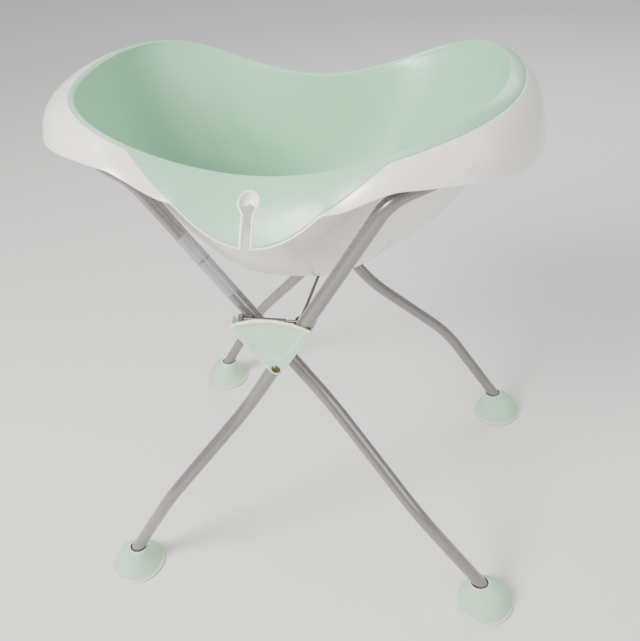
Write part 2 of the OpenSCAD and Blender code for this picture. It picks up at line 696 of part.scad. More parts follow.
module outer_front_leg() { color(steel) outer_leg(); }
module outer_rear_leg() { color(steel) mirror_y() outer_leg(); }
module outer_top_loop() { color(steel) top_loop(outer_y); }
module outer_joint_sleeves() { color("silver") joint_sleeves(outer_y); }
module outer_front_foot() { color(mint) foot(outer_y); }
module outer_rear_foot() { color(mint) mirror_y() foot(outer_y); }
module outer_foot_soles() { color("gray") both_sides() foot_sole(outer_y); }
module outer_saddle() {
    saddle(loop_point(outer_y, saddle_turn), saddle_along(outer_y), saddle_head(head_turn));
}
module outer_front_saddle() { color(white) mirror_y() outer_saddle(); }
module outer_rear_saddle() { color(white) outer_saddle(); }
module front_cover() { color(mint) cover(); }
module rear_cover() { color(mint) mirror_y() cover(); }
module pivot_bolts() { color(brass) both_sides() pivot_bolt(); }
module pivot_washers() {
    color("silver") both_sides() ring_at(0, pivot_z, washer_y, washer_y + washer_t, bolt_d, bolt_d / 2);
}
module pivot_nuts() { color("silver") both_sides() pivot_nut(); }
module frame_spacers() {
    color(white) both_sides() difference() {
        ring_at(0, pivot_z, inner_y + tube_r + gap, outer_y - tube_r + 2, bolt_d + 1, bolt_d / 2);
        bent_bar(leg_path(outer_y), tube_r, bend_r);
    }
}
module front_catch() { color("dimgray") bar_catch(); }
module rear_catch() { color("dimgray") mirror_y() bar_catch(); }
module catch_rivets() { color("silver") both_sides() catch_rivet(); }
module inner_front_leg() { color(steel) lean_x() inner_leg(); }
module inner_rear_leg() { color(steel) lean_x() mirror_y() inner_leg(); }
module inner_top_loop() { color(steel) lean_x() top_loop(inner_y); }
module inner_joint_sleeves() { color("silver") lean_x() joint_sleeves(inner_y); }
module inner_front_foot() { color(mint) lean_x() foot(inner_y); }
module inner_rear_foot() { color(mint) lean_x() mirror_y() foot(inner_y); }
module inner_foot_soles() { color("gray") lean_x() both_sides() foot_sole(inner_y); }
module inner_saddle() {
    saddle(lean(loop_point(inner_y, saddle_turn)), lean(saddle_along(inner_y)), saddle_head(180 - head_turn));
}
module inner_front_saddle() { color(white) mirror_y() inner_saddle(); }
module inner_rear_saddle() { color(white) inner_saddle(); }
module pivot_bushes() {
    color(white) both_sides() ring_at(0, pivot_z, inner_y - tube_r, inner_y + tube_r,
        bolt_d / 2 + bush_wall, bolt_d / 2 + bolt_play);
}
module front_bar_lug() { color("dimgray") bar_lug(); }
module rear_bar_lug() { color("dimgray") mirror_y() bar_lug(); }
module lug_pins() { color("silver") both_sides() lug_pin(); }
module upper_label() { color("lightgray") tube_label(pivot_z + 164, pivot_z + 202); }
module lower_label() { color("lightgray") tube_label(pivot_z + 106, pivot_z + 161); }
module lock_bar() { color("dimgray") lock_rod(); }
module bar_grips() { color("black") both_sides() bar_grip(); }
module tub_shell() { color(white) shell_skin(); }
module bath_liner() { color(mint) liner_skin(); }
module drain_body() { color("silver") drain_neck(); }
module drain_gasket() { color("black") gasket_ring(); }
module drain_nut() { color(white) neck_nut(); }
module drain_plug() { color(mint) plug(); }

outer_front_leg();
outer_rear_leg();
outer_top_loop();
outer_joint_sleeves();
outer_front_foot();
outer_rear_foot();
outer_foot_soles();
outer_front_saddle();
outer_rear_saddle();
front_cover();
rear_cover();
pivot_bolts();
pivot_washers();
pivot_nuts();
frame_spacers();
front_catch();
rear_catch();
catch_rivets();
inner_front_leg();
inner_rear_leg();
inner_top_loop();
inner_joint_sleeves();
inner_front_foot();
inner_rear_foot();
inner_foot_soles();
inner_front_saddle();
inner_rear_saddle();
pivot_bushes();
front_bar_lug();
rear_bar_lug();
lug_pins();
upper_label();
lower_label();
lock_bar();
bar_grips();
tub_shell();
bath_liner();
drain_body();
drain_gasket();
drain_nut();
drain_plug();
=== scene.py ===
"""Baby bathtub hung by its rim in a folding tube stand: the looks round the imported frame."""
import logging
import math
from dataclasses import dataclass
from enum import Enum
from typing import Callable, Iterable, Sequence

import bmesh
import bpy
import numpy as np
from mathutils import Matrix, Vector


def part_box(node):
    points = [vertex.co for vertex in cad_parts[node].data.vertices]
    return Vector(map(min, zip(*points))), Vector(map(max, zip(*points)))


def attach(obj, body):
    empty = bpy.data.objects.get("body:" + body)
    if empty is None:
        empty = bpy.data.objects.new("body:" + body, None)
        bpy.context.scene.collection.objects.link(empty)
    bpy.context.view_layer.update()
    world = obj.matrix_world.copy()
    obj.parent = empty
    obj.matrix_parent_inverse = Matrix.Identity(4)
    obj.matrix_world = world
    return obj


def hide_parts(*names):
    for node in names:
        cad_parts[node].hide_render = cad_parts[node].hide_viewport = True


logging.basicConfig(level=logging.INFO, format="%(name)s: %(message)s")
log = logging.getLogger("bathtub")

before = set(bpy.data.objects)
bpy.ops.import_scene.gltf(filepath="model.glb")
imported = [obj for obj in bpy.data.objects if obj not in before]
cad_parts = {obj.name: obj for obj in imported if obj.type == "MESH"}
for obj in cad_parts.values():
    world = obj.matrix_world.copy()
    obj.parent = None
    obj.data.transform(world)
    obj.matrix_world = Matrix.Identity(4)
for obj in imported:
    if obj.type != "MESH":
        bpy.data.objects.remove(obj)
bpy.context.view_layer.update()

Colour = tuple[float, float, float]
Object = bpy.types.Object
Material = bpy.types.Material
Socket = bpy.types.NodeSocket
Tree = bpy.types.NodeTree

SHARP_DEG = 38.0


class Body(Enum):
    """The bodies that the new pieces ride on."""

    OUTER = "outer_frame"
    INNER = "inner_frame"
    TUB = "tub"


# --- Vectors, curves and meshes ---
def unit(v: np.ndarray) -> np.ndarray:
    """Vectors of length one, along the last axis."""
    return v / np.maximum(np.linalg.norm(v, axis=-1, keepdims=True), 1e-12)


def ease(f: np.ndarray) -> np.ndarray:
    """Smooth step from 0 to 1."""
    g = np.clip(f, 0.0, 1.0)
    return g * g * (3 - 2 * g)


def srgb(r: int, g: int, b: int) -> Colour:
    """A linear colour from its 8-bit screen values."""
    return tuple(((c / 255 + 0.055) / 1.055) ** 2.4 if c > 10 else c / 255 / 12.92
                 for c in (r, g, b))


def add_mesh(name: str, verts: np.ndarray, faces: Iterable[Sequence[int]],
             sharp_deg: float = SHARP_DEG) -> Object:
    """Makes a smooth-shaded mesh object from vertices in metres.

    Args:
        name: The piece's name.
        verts: Vertex places, one row each.
        faces: Vertex numbers of each face.
        sharp_deg: Edges that bend more than this stay sharp.

    Returns:
        The new object, linked to the scene.
    """
    mesh = bpy.data.meshes.new(name)
    mesh.from_pydata([tuple(v) for v in np.asarray(verts, float)], [], [list(f) for f in faces])
    mesh.validate()
    tidy = bmesh.new()
    tidy.from_mesh(mesh)
    bmesh.ops.remove_doubles(tidy, verts=tidy.verts, dist=1e-6)
    bmesh.ops.recalc_face_normals(tidy, faces=tidy.faces)
    tidy.to_mesh(mesh)
    tidy.free()
    mesh.shade_smooth()
    mesh.set_sharp_from_angle(angle=math.radians(sharp_deg))
    obj = bpy.data.objects.new(name, mesh)
    bpy.context.scene.collection.objects.link(obj)
    return obj


def ring_faces(count: int, rings: int, wrap_rings: bool = False) -> list[list[int]]:
    """Quads between rings of points that each close on themselves.

    Args:
        count: Points in a ring.
        rings: Number of rings, one after the other.
        wrap_rings: Whether the last ring joins the first.

    Returns:
        Vertex numbers of each quad.
    """
    faces = []
    for k in range(rings if wrap_rings else rings - 1):
        a, b = k * count, ((k + 1) % rings) * count
        faces += [[a + i, a + (i + 1) % count, b + (i + 1) % count, b + i] for i in range(count)]
    return faces


def loft(name: str, rings: Sequence[np.ndarray]) -> Object:
    """A skin over closed rings of points, with a face across each end.

    Args:
        name: The piece's name.
        rings: Rings with the same number of points.

    Returns:
        The new object.
    """
    count = len(rings[0])
    faces = ring_faces(count, len(rings))
    faces.append(list(range(count))[::-1])
    faces.append([(len(rings) - 1) * count + i for i in range(count)])
    return add_mesh(name, np.vstack(rings), faces)


def sweep(path: np.ndarray, outline: np.ndarray, first_side: np.ndarray) -> list[np.ndarray]:
    """Rings of an outline carried along a path without twisting.

    Args:
        path: Points of the centre line.
        outline: Pairs across and up from the centre line.
        first_side: The across direction at the start.

    Returns:
        One ring for each point of the path.
    """
    tangents = unit(np.gradient(path, axis=0))
    side = first_side - first_side.dot(tangents[0]) * tangents[0]
    rings = []
    for p, t in zip(path, tangents):
        side = unit(side - side.dot(t) * t)
        rings.append(p + np.outer(outline[:, 0], side) + np.outer(outline[:, 1], np.cross(t, side)))
    return rings


def circle(r: float, count: int = 40) -> np.ndarray:
    """A round outline."""
    turn = np.linspace(0, 2 * math.pi, count, endpoint=False)
    return r * np.column_stack([np.cos(turn), np.sin(turn)])


def bent_line(points: Sequence[Sequence[float]], radii: Sequence[float]) -> np.ndarray:
    """A line through points with a round bend at each inner one.

    Args:
        points: Corners of the line.
        radii: Bend radius at each inner corner.

    Returns:
        The points of the bent line.
    """
    step = 0.004
    p = [np.asarray(q, float) for q in points]
    out = [p[0]]
    for a, b, c, radius in zip(p, p[1:], p[2:], radii):
        into, away = unit(b - a), unit(c - b)
        turn = math.acos(float(np.clip(into.dot(away), -1, 1)))
        start = b - into * radius * math.tan(turn / 2)
        inward = unit(away - away.dot(into) * into)
        for f in np.linspace(0, turn, max(3, int(radius * turn / step))):
            out.append(start + radius * (math.sin(f) * into + (1 - math.cos(f)) * inward))
    out.append(p[-1])
    return np.array(out)


def densify(line: np.ndarray, step: float) -> np.ndarray:
    """A line with points added where they lie further apart than a step."""
    out = [line[0]]
    for a, b in zip(line, line[1:]):
        parts = max(1, int(np.linalg.norm(b - a) / step))
        out += [a + (b - a) * f / parts for f in range(1, parts + 1)]
    return np.array(out)


def modify(obj: Object, kind: str, **settings: object) -> Object:
    """Applies one modifier to an object for good.

    Args:
        obj: The object to change.
        kind: Blender's name of the modifier type.
        settings: Values set on the modifier.

    Returns:
        The same object.
    """
    mod = obj.modifiers.new(kind.lower(), kind)
    for key, value in settings.items():
        setattr(mod, key, value)
    graph = bpy.context.evaluated_depsgraph_get()
    mesh = bpy.data.meshes.new_from_object(obj.evaluated_get(graph))
    obj.modifiers.clear()
    old, obj.data = obj.data, mesh
    bpy.data.meshes.remove(old)
    return obj


def side_word(side: int) -> str:
    """The word for the front (1) or rear (-1) side."""
    return "front" if side > 0 else "rear"


def settle(obj: Object, body: Body, material: Material, slot: str, *nodes: str) -> None:
    """Dresses a piece, rides it on its body and lets it stand for its CAD nodes.

    Args:
        obj: The piece.
        body: The body that it rides on.
        material: Its material.
        slot: The record's material slot. Not used.
        nodes: The CAD nodes that it stands for.
    """
    obj.data.materials.clear()
    obj.data.materials.append(material)
    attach(obj, body.value)
    if nodes:
        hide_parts(*nodes)
    log.info("%s: %d faces on %s", obj.name, len(obj.data.polygons), body.value)


def accent(obj: Object, material: Material, chosen: Callable[[Vector, Vector], bool]) -> None:
    """Gives some faces of a dressed piece a second material.

    Args:
        obj: The piece.
        material: The second material.
        chosen: Tells from a face's middle and normal whether it gets that material.
    """
    obj.data.materials.append(material)
    for face in obj.data.polygons:
        if chosen(face.center, face.normal):
            face.material_index = 1


# --- Finishes ---
class Nodes:
    """Short ways to place and wire shader nodes in one tree."""

    def __init__(self, tree: Tree) -> None:
        """Keeps the tree that the nodes go in."""
        self.tree = tree

    def add(self, kind: str, **inputs: object) -> bpy.types.Node:
        """Places a node.

        Args:
            kind: The node's type, without its ShaderNode prefix.
            inputs: Property values, or input sockets by name with _ for a space.

        Returns:
            The new node.
        """
        node = self.tree.nodes.new("ShaderNode" + kind)
        for key, value in inputs.items():
            if hasattr(node, key) and key not in node.inputs:
                setattr(node, key, value)
            else:
                self.put(value, node.inputs[key.replace("_", " ")])
        return node

    def put(self, value: object, socket: Socket) -> None:
        """Links an output to an input, or sets the input's own value."""
        if isinstance(value, Socket):
            self.tree.links.new(value, socket)
        elif socket.type == "RGBA":
            socket.default_value = (*value, 1.0) if len(value) == 3 else value
        else:
            socket.default_value = value

    def ramp(self, value: Socket, low: float, high: float,
             to: tuple[float, float] = (0.0, 1.0)) -> Socket:
        """A value's range carried over to another range, clamped."""
        node = self.add("MapRange", Value=value)
        for key, number in zip(("From Min", "From Max", "To Min", "To Max"), (low, high, *to)):
            node.inputs[key].default_value = number
        return node.outputs["Result"]

    def mix(self, factor: object, a: object, b: object) -> Socket:
        """A mix of two colours."""
        node = self.tree.nodes.new("ShaderNodeMix")
        node.data_type = "RGBA"
        for socket, value in zip((node.inputs[0], node.inputs[6], node.inputs[7]), (factor, a, b)):
            self.put(value, socket)
        return node.outputs[2]

    def noise(self, place: Socket, scale: object, detail: float, **more: float) -> Socket:
        """Noise at a place."""
        return self.add("TexNoise", Vector=place, Scale=scale, Detail=detail, **more).outputs["Fac"]

    def math(self, operation: str, a: object, b: object) -> Socket:
        """A sum on two values."""
        node = self.tree.nodes.new("ShaderNodeMath")
        node.operation = operation
        for socket, value in zip(node.inputs, (a, b)):
            self.put(value, socket)
        return node.outputs[0]


def open_group(name: str, inputs: dict[str, object]) -> tuple[Nodes, dict[str, Socket]]:
    """Starts a shader node group.

    Args:
        name: The group's name.
        inputs: Each input's first value, a number or a colour.

    Returns:
        The tree's node maker and the inputs by name.
    """
    tree = bpy.data.node_groups.new(name, "ShaderNodeTree")
    for key, value in inputs.items():
        is_colour = isinstance(value, tuple)
        kind = "NodeSocketColor" if is_colour else "NodeSocketFloat"
        socket = tree.interface.new_socket(key, in_out="INPUT", socket_type=kind)
        socket.default_value = (*value, 1.0) if is_colour else value
    source = tree.nodes.new("NodeGroupInput")
    return Nodes(tree), {s.name: s for s in source.outputs if s.name}


def close_group(n: Nodes, colour: Socket, rough: Socket, normal: Socket) -> Tree:
    """Gives a group its colour, roughness and normal outputs."""
    given = (("Colour", "Color", colour), ("Roughness", "Float", rough), ("Normal", "Vector", normal))
    for key, kind, _ in given:
        n.tree.interface.new_socket(key, in_out="OUTPUT", socket_type="NodeSocket" + kind)
    out = n.tree.nodes.new("NodeGroupOutput")
    for key, _, value in given:
        n.put(value, out.inputs[key])
    return n.tree


def build_moulded_surface() -> Tree:
    """The skin of moulded plastic: grain, cloudy colour, pale rubbed edges, a darker colour in
    hollows.
    """
    n, i = open_group("moulded_surface", {
        "Colour": (0.8, 0.8, 0.8), "Worn Colour": (0.9, 0.9, 0.9), "Hollow Colour": (0.5, 0.45, 0.4),
        "Grain Scale": 900.0, "Grain Depth": 0.2, "Roughness": 0.35, "Edge Wear": 0.5})
    place = n.add("TexCoord").outputs["Object"]
    cloud = n.noise(place, 7.0, 3.0, Roughness=0.6)
    scuff = n.noise(place, 46.0, 5.0, Roughness=0.65, Distortion=1.2)
    grain = n.noise(place, i["Grain Scale"], 2.0, Roughness=0.6)
    rise = n.add("NewGeometry").outputs["Pointiness"]
    edge = n.math("MULTIPLY", n.ramp(rise, 0.515, 0.56), i["Edge Wear"])
    # concave places are mixed part way towards a darker colour
    hollow = n.math("MULTIPLY", n.ramp(rise, 0.47, 0.40), 0.35)
    shade = n.mix(n.ramp(cloud, 0.35, 0.7, (0.0, 0.1)), i["Colour"], i["Worn Colour"])
    shade = n.mix(edge, shade, i["Worn Colour"])
    shade = n.mix(hollow, shade, i["Hollow Colour"])
    rough = n.math("ADD", i["Roughness"], n.ramp(scuff, 0.35, 0.75, (-0.05, 0.12)))
    height = n.math("ADD", n.math("MULTIPLY", grain, i["Grain Depth"]),
                    n.math("MULTIPLY", scuff, 0.04))
    bump = n.add("Bump", Strength=0.1, Distance=0.0006, Height=height)
    return close_group(n, shade, rough, bump.outputs["Normal"])


def build_metal_surface() -> Tree:
    """Coated or bare metal: slight streaks, fine flake, handling scratches and rubbed edges."""
    n, i = open_group("metal_surface", {
        "Colour": (0.3, 0.3, 0.3), "Bright Colour": (0.6, 0.6, 0.6), "Dirt Colour": (0.1, 0.09, 0.08),
        "Roughness": 0.35, "Flake": 0.3, "Wear": 0.3})
    place = n.add("TexCoord").outputs["Object"]
    flake = n.add("TexVoronoi", Vector=place, Scale=2600.0).outputs["Distance"]
    streak = n.noise(place, 60.0, 2.0)
    cloud = n.noise(place, 22.0, 4.0, Roughness=0.6)
    scratch = n.noise(place, 120.0, 6.0, Roughness=0.8, Distortion=2.5)
    rise = n.add("NewGeometry").outputs["Pointiness"]
    worn = n.math("ADD", n.ramp(rise, 0.54, 0.62), n.ramp(scratch, 0.72, 0.78))
    rubbed = n.math("MULTIPLY", worn, i["Wear"])
    sparkle = n.math("MULTIPLY", n.ramp(flake, 0.5, 0.1), i["Flake"])
    shade = n.mix(n.math("MULTIPLY", sparkle, 0.5), i["Colour"], i["Bright Colour"])
    shade = n.mix(n.ramp(cloud, 0.5, 0.8, (0.0, 0.1)), shade, i["Dirt Colour"])
    shade = n.mix(rubbed, shade, i["Bright Colour"])
    rough = n.math("ADD", i["Roughness"], n.ramp(streak, 0.3, 0.7, (-0.04, 0.05)))
    grit = n.math("MULTIPLY", flake, n.math("MULTIPLY", i["Flake"], 0.2))
    height = n.math("ADD", n.math("MULTIPLY", streak, 0.3), grit)
    bump = n.add("Bump", Strength=0.03, Distance=0.0001, Height=height)
    return close_group(n, shade, rough, bump.outputs["Normal"])


def wrap_skin(name: str, group: Tree, values: dict[str, object]) -> tuple[Material, bpy.types.Node]:
    """Starts a material whose colour, roughness and normal come from a shared skin.

    Args:
        name: The material's name.
        group: The shared skin.
        values: The skin's own input values.

    Returns:
        The material and its shader.
    """
    material = bpy.data.materials.new(name)
    material.use_nodes = True
    n = Nodes(material.node_tree)
    skin = n.add("Group", node_tree=group)
    for key, value in values.items():
        n.put(value, skin.inputs[key])
    shader = material.node_tree.nodes["Principled BSDF"]
    for key, into in (("Colour", "Base Color"), ("Roughness", "Roughness"), ("Normal", "Normal")):
        n.put(skin.outputs[key], shader.inputs[into])
    return material, shader


@dataclass(frozen=True)
class Plastic:
    """A moulded plastic finish."""

    name: str
    colour: Colour
    worn: Colour
    # a darker colour mixed into concave places
    hollow_colour: Colour = (0.32, 0.28, 0.22)
    roughness: float = 0.34
    grain_scale: float = 900.0
    grain_depth: float = 0.25
    edge_wear: float = 0.45
    coat: float = 0.15
    glow_depth: float = 0.0

    def make(self, group: Tree) -> Material:
        """Makes the material from the shared plastic skin."""
        material, shader = wrap_skin(self.name, group, {
            "Colour": self.colour, "Worn Colour": self.worn, "Hollow Colour": self.hollow_colour,
            "Grain Scale": self.grain_scale, "Grain Depth": self.grain_depth,
            "Roughness": self.roughness, "Edge Wear": self.edge_wear})
        shader.inputs["IOR"].default_value = 1.49
        shader.inputs["Coat Weight"].default_value = self.coat
        shader.inputs["Coat Roughness"].default_value = 0.12
        if self.glow_depth > 0:
            shader.inputs["Subsurface Weight"].default_value = 0.12
            shader.inputs["Subsurface Scale"].default_value = self.glow_depth
            shader.inputs["Subsurface Radius"].default_value = (1.0, 0.8, 0.7)
        return material


@dataclass(frozen=True)
class Metal:
    """A coated, plated or bare metal finish."""

    name: str
    colour: Colour
    bright: Colour
    dirt: Colour = (0.06, 0.05, 0.045)
    roughness: float = 0.36
    metallic: float = 0.6
    flake: float = 0.3
    wear: float = 0.25
    coat: float = 0.2

    def make(self, group: Tree) -> Material:
        """Makes the material from the shared metal skin."""
        material, shader = wrap_skin(self.name, group, {
            "Colour": self.colour, "Bright Colour": self.bright, "Dirt Colour": self.dirt,
            "Roughness": self.roughness, "Flake": self.flake, "Wear": self.wear})
        shader.inputs["Metallic"].default_value = self.metallic
        shader.inputs["Coat Weight"].default_value = self.coat
        shader.inputs["Coat Roughness"].default_value = 0.2
        return material


class Finishes:
    """Every material of the object, made once."""

    def __init__(self) -> None:
        """Builds the shared skins and the materials."""
        moulded, metal = build_moulded_surface(), build_metal_surface()
        mint_edge = srgb(236, 238, 208)
        self.liner = Plastic("mint_liner", srgb(152, 204, 168), srgb(176, 218, 188), roughness=0.33,
                             edge_wear=0.35, glow_depth=0.004).make(moulded)
        self.shell = Plastic("white_shell", srgb(238, 235, 226), srgb(246, 244, 238), roughness=0.24,
                             grain_depth=0.1, edge_wear=0.3, coat=0.4, glow_depth=0.004).make(moulded)
        self.lip = Plastic("white_lip", srgb(242, 240, 230), srgb(248, 246, 240), roughness=0.3,
                           grain_depth=0.1, coat=0.3, glow_depth=0.002).make(moulded)
        fine = {"edge_wear": 1.0, "grain_scale": 1300.0, "grain_depth": 0.4}
        self.cover = Plastic("mint_cover", srgb(170, 212, 182), mint_edge, roughness=0.42,
                             glow_depth=0.002, **fine).make(moulded)
        self.foot = Plastic("mint_foot", srgb(170, 212, 180), mint_edge, roughness=0.45,
                            glow_depth=0.003, **fine).make(moulded)
        self.trim = Plastic("cream_edge", srgb(232, 234, 208), srgb(244, 244, 226), roughness=0.4,
                            grain_depth=0.1, glow_depth=0.002).make(moulded)
        self.white = Plastic("white_nylon", srgb(228, 225, 216), srgb(240, 238, 230),
                             roughness=0.45).make(moulded)
        self.black = Plastic("black_grip", srgb(46, 45, 44), srgb(90, 88, 84), roughness=0.55,
                             grain_depth=0.6).make(moulded)
        self.rubber = Plastic("grey_sole", srgb(112, 110, 106), srgb(140, 138, 132), roughness=0.75,
                              grain_depth=0.9, coat=0.0).make(moulded)
        self.film = Plastic("label_film", srgb(118, 119, 122), srgb(170, 171, 174), roughness=0.22,
                            grain_scale=350.0, grain_depth=0.8, coat=0.6).make(moulded)
        self.tube = Metal("tube_coat", srgb(132, 128, 128), srgb(178, 174, 174), roughness=0.26,
                          metallic=0.55, coat=0.6, flake=0.06, wear=0.1).make(metal)
        self.steel = Metal("zinc_steel", srgb(168, 166, 160), srgb(214, 212, 206), metallic=0.9,
                           roughness=0.3, flake=0.6, coat=0.0).make(metal)
        self.dark = Metal("dark_steel", srgb(112, 108, 102), srgb(170, 166, 158), metallic=0.85,
                          roughness=0.38, wear=0.6, coat=0.0).make(metal)
        self.brass = Metal("aged_brass", srgb(88, 76, 54), srgb(150, 132, 94), metallic=0.7,
                           roughness=0.45, wear=0.9, coat=0.0).make(metal)


# --- Tub ---
@dataclass(frozen=True)
class TubForm:
    """The tub's surface.

    A turn goes round it from +X. A run is 0 in the bowl, 1 on the rim and 2 on the skirt's edge.
    """

    rim_half_l: float = 0.311
    rim_half_w: float = 0.189
    rim_z: float = 0.806
    rim_rise: float = 0.075
    rim_shift: float = 0.007
    rim_tilt: float = 0.006
    skirt_half_l: float = 0.370
    skirt_half_w: float = 0.240
    skirt_z: float = 0.783
    skirt_lift: float = 0.032
    skirt_tilt: float = 0.020
    lift_run: float = 0.104
    bowl_top_z: float = 0.5829
    apron_half_l: float = 0.100
    apron_drop: float = 0.048
    apron_flare: float = 0.017
    crest_r: float = 0.005
    liner_t: float = 0.0026
    shell_t: float = 0.003
    gap: float = 0.0003
    edge_show: float = 0.0035
    wall_run: float = 0.97
    collar_deg: float = 57.0
    apron_lift: float = 0.35

    @property
    def lay(self) -> float:
        """How deep the shell's upper side lies under the liner's."""
        return self.liner_t + self.gap

    def rim(self, turn: np.ndarray) -> np.ndarray:
        """Points on the crest of the rim."""
        c, s = np.cos(turn), np.sin(turn)
        return np.column_stack([
            self.rim_half_l * c + self.rim_shift,
            self.rim_half_w * s * (1 + 0.75 * c**2 - 0.12 * c**4),
            self.rim_z + self.rim_rise * (1.87 * c**2 - 0.87 * c**4) - self.rim_tilt * c])

    def edge(self, turn: np.ndarray) -> np.ndarray:
        """Points on the lower edge of the skirt."""
        c = np.cos(turn)
        hang = np.maximum(0, 1 - (self.skirt_half_l * c / self.apron_half_l) ** 2)
        across = np.maximum(0, 1 - np.abs(c) ** 2.5) ** 0.4
        past = (self.skirt_half_l * np.abs(c) - self.apron_half_l) / self.lift_run
        lift = ease(past) - self.apron_lift * ease((np.abs(c) - 0.65) / 0.35)
        return np.column_stack([
            self.skirt_half_l * c,
            np.sign(np.sin(turn)) * across * (self.skirt_half_w + self.apron_flare * hang),
            self.skirt_z - self.apron_drop * hang - self.skirt_tilt * c + self.skirt_lift * lift])

    def skirt(self, turn: np.ndarray, t: np.ndarray) -> np.ndarray:
        """Points on the skirt, t from 0 on the rim to 1 on its edge."""
        a, b = self.rim(turn), self.edge(turn)
        roll = (0.18 + 0.6 * np.cos(turn) ** 2)[:, None]
        corner = np.column_stack([b[:, 0], b[:, 1], a[:, 2]])
        c = (a + b) / 2 + roll * (corner - (a + b) / 2)
        t = t[:, None]
        return (1 - t) ** 2 * a + 2 * t * (1 - t) * c + t**2 * b

    def wall_top(self, turn: np.ndarray) -> np.ndarray:
        """Points where the bowl's wall meets the round crest."""
        a = self.rim(turn)
        out = unit(np.column_stack([a[:, 0] - self.rim_shift, a[:, 1], np.zeros(len(a))]))
        return a - self.crest_r * (out + np.array([0, 0, 1.0]))

    def bowl(self, turn: np.ndarray, t: np.ndarray) -> np.ndarray:
        """Points in the bowl, t from 0 in its middle to 1 at the top of its wall."""
        w = self.wall_top(turn)
        across, corner = np.sin(turn) ** 2, np.sin(2 * turn) ** 2
        steep = 0.61 + 0.4 * across + 0.62 * corner
        rise = 1 - np.maximum(0, 1 - t ** (2.5 + 2.1 * across)) ** steep
        height = self.bowl_top_z + (w[:, 2] - self.bowl_top_z) * rise
        return np.column_stack([w[:, 0] * t, w[:, 1] * t, height])

    def sheet(self, turn: np.ndarray, run: np.ndarray) -> np.ndarray:
        """Points on the whole surface."""
        turn = np.atleast_1d(np.asarray(turn, float))
        run = np.broadcast_to(np.asarray(run, float), turn.shape)
        a, w = self.rim(turn), self.wall_top(turn)
        f = np.clip((run - self.wall_run) / 0.03, 0, 1)[:, None] * math.pi / 2
        side, up = 1 - np.cos(f), np.sin(f)
        crest = w + (a - w) * np.hstack([side, side, up])
        inner = self.bowl(turn, np.clip(run / self.wall_run, 0, 1))
        outer = self.skirt(turn, np.clip(run - 1, 0, 1))
        run = run[:, None]
        return np.where(run <= self.wall_run, inner, np.where(run < 1, crest, outer))

    def normal(self, turn: np.ndarray, run: np.ndarray) -> np.ndarray:
        """Directions away from the sheet on its upper and outer side."""
        turn = np.atleast_1d(np.asarray(turn, float))
        run = np.broadcast_to(np.asarray(run, float), turn.shape)
        da, dr = math.radians(0.4), 0.004
        low, high = np.maximum(0.02, run - dr), np.minimum(2.0, run + dr)
        along = self.sheet(turn, high) - self.sheet(turn, low)
        return unit(np.cross(along, self.sheet(turn + da, run) - self.sheet(turn - da, run)))

    def under(self, turn: np.ndarray, run: np.ndarray, depth: float) -> np.ndarray:
        """Points a depth below the sheet."""
        run = np.broadcast_to(np.asarray(run, float), np.shape(turn))
        return self.sheet(turn, run) - depth * self.normal(turn, np.maximum(run, 0.05))

    def skirt_width(self, turn: np.ndarray) -> np.ndarray:
        """Straight distance from the rim to the skirt's edge."""
        return np.linalg.norm(self.edge(turn) - self.rim(turn), axis=1)

    def liner_end(self, turn: np.ndarray) -> np.ndarray:
        """How far over the skirt the coloured liner reaches, as a share of the run from 1 to 2."""
        apron_turn = math.acos(self.apron_half_l / self.skirt_half_l)
        collar_turn = math.radians(self.collar_deg)
        m = np.mod(turn, math.pi)
        from_end = np.minimum(m, math.pi - m)
        collar = 0.135 + 0.095 * np.cos(turn)
        full = 1 - self.edge_show / self.skirt_width(turn)
        share = np.clip((from_end - collar_turn) / (apron_turn - collar_turn), 0, 1)
        return collar + (full - collar) * share

    def find(self, x: float, z: float) -> tuple[float, float]:
        """The turn and run on the front of the skirt at a place seen from the front.

        Args:
            x: Place along the tub.
            z: Height.

        Returns:
            The turn and the run.
        """
        at = np.array([1.5 * math.pi + x / self.skirt_half_l, 1.5])
        step = 1e-4
        for _ in range(12):
            here, turned, lower = (self.sheet(at[0] + a, at[1] - b)[0][[0, 2]]
                                   for a, b in ((0, 0), (step, 0), (0, step)))
            jac = np.column_stack([(turned - here) / step, (lower - here) / -step])
            at = at - np.linalg.solve(jac, here - np.array([x, z]))
            at[1] = float(np.clip(at[1], 1.02, 1.999))
        return float(at[0]), float(at[1])


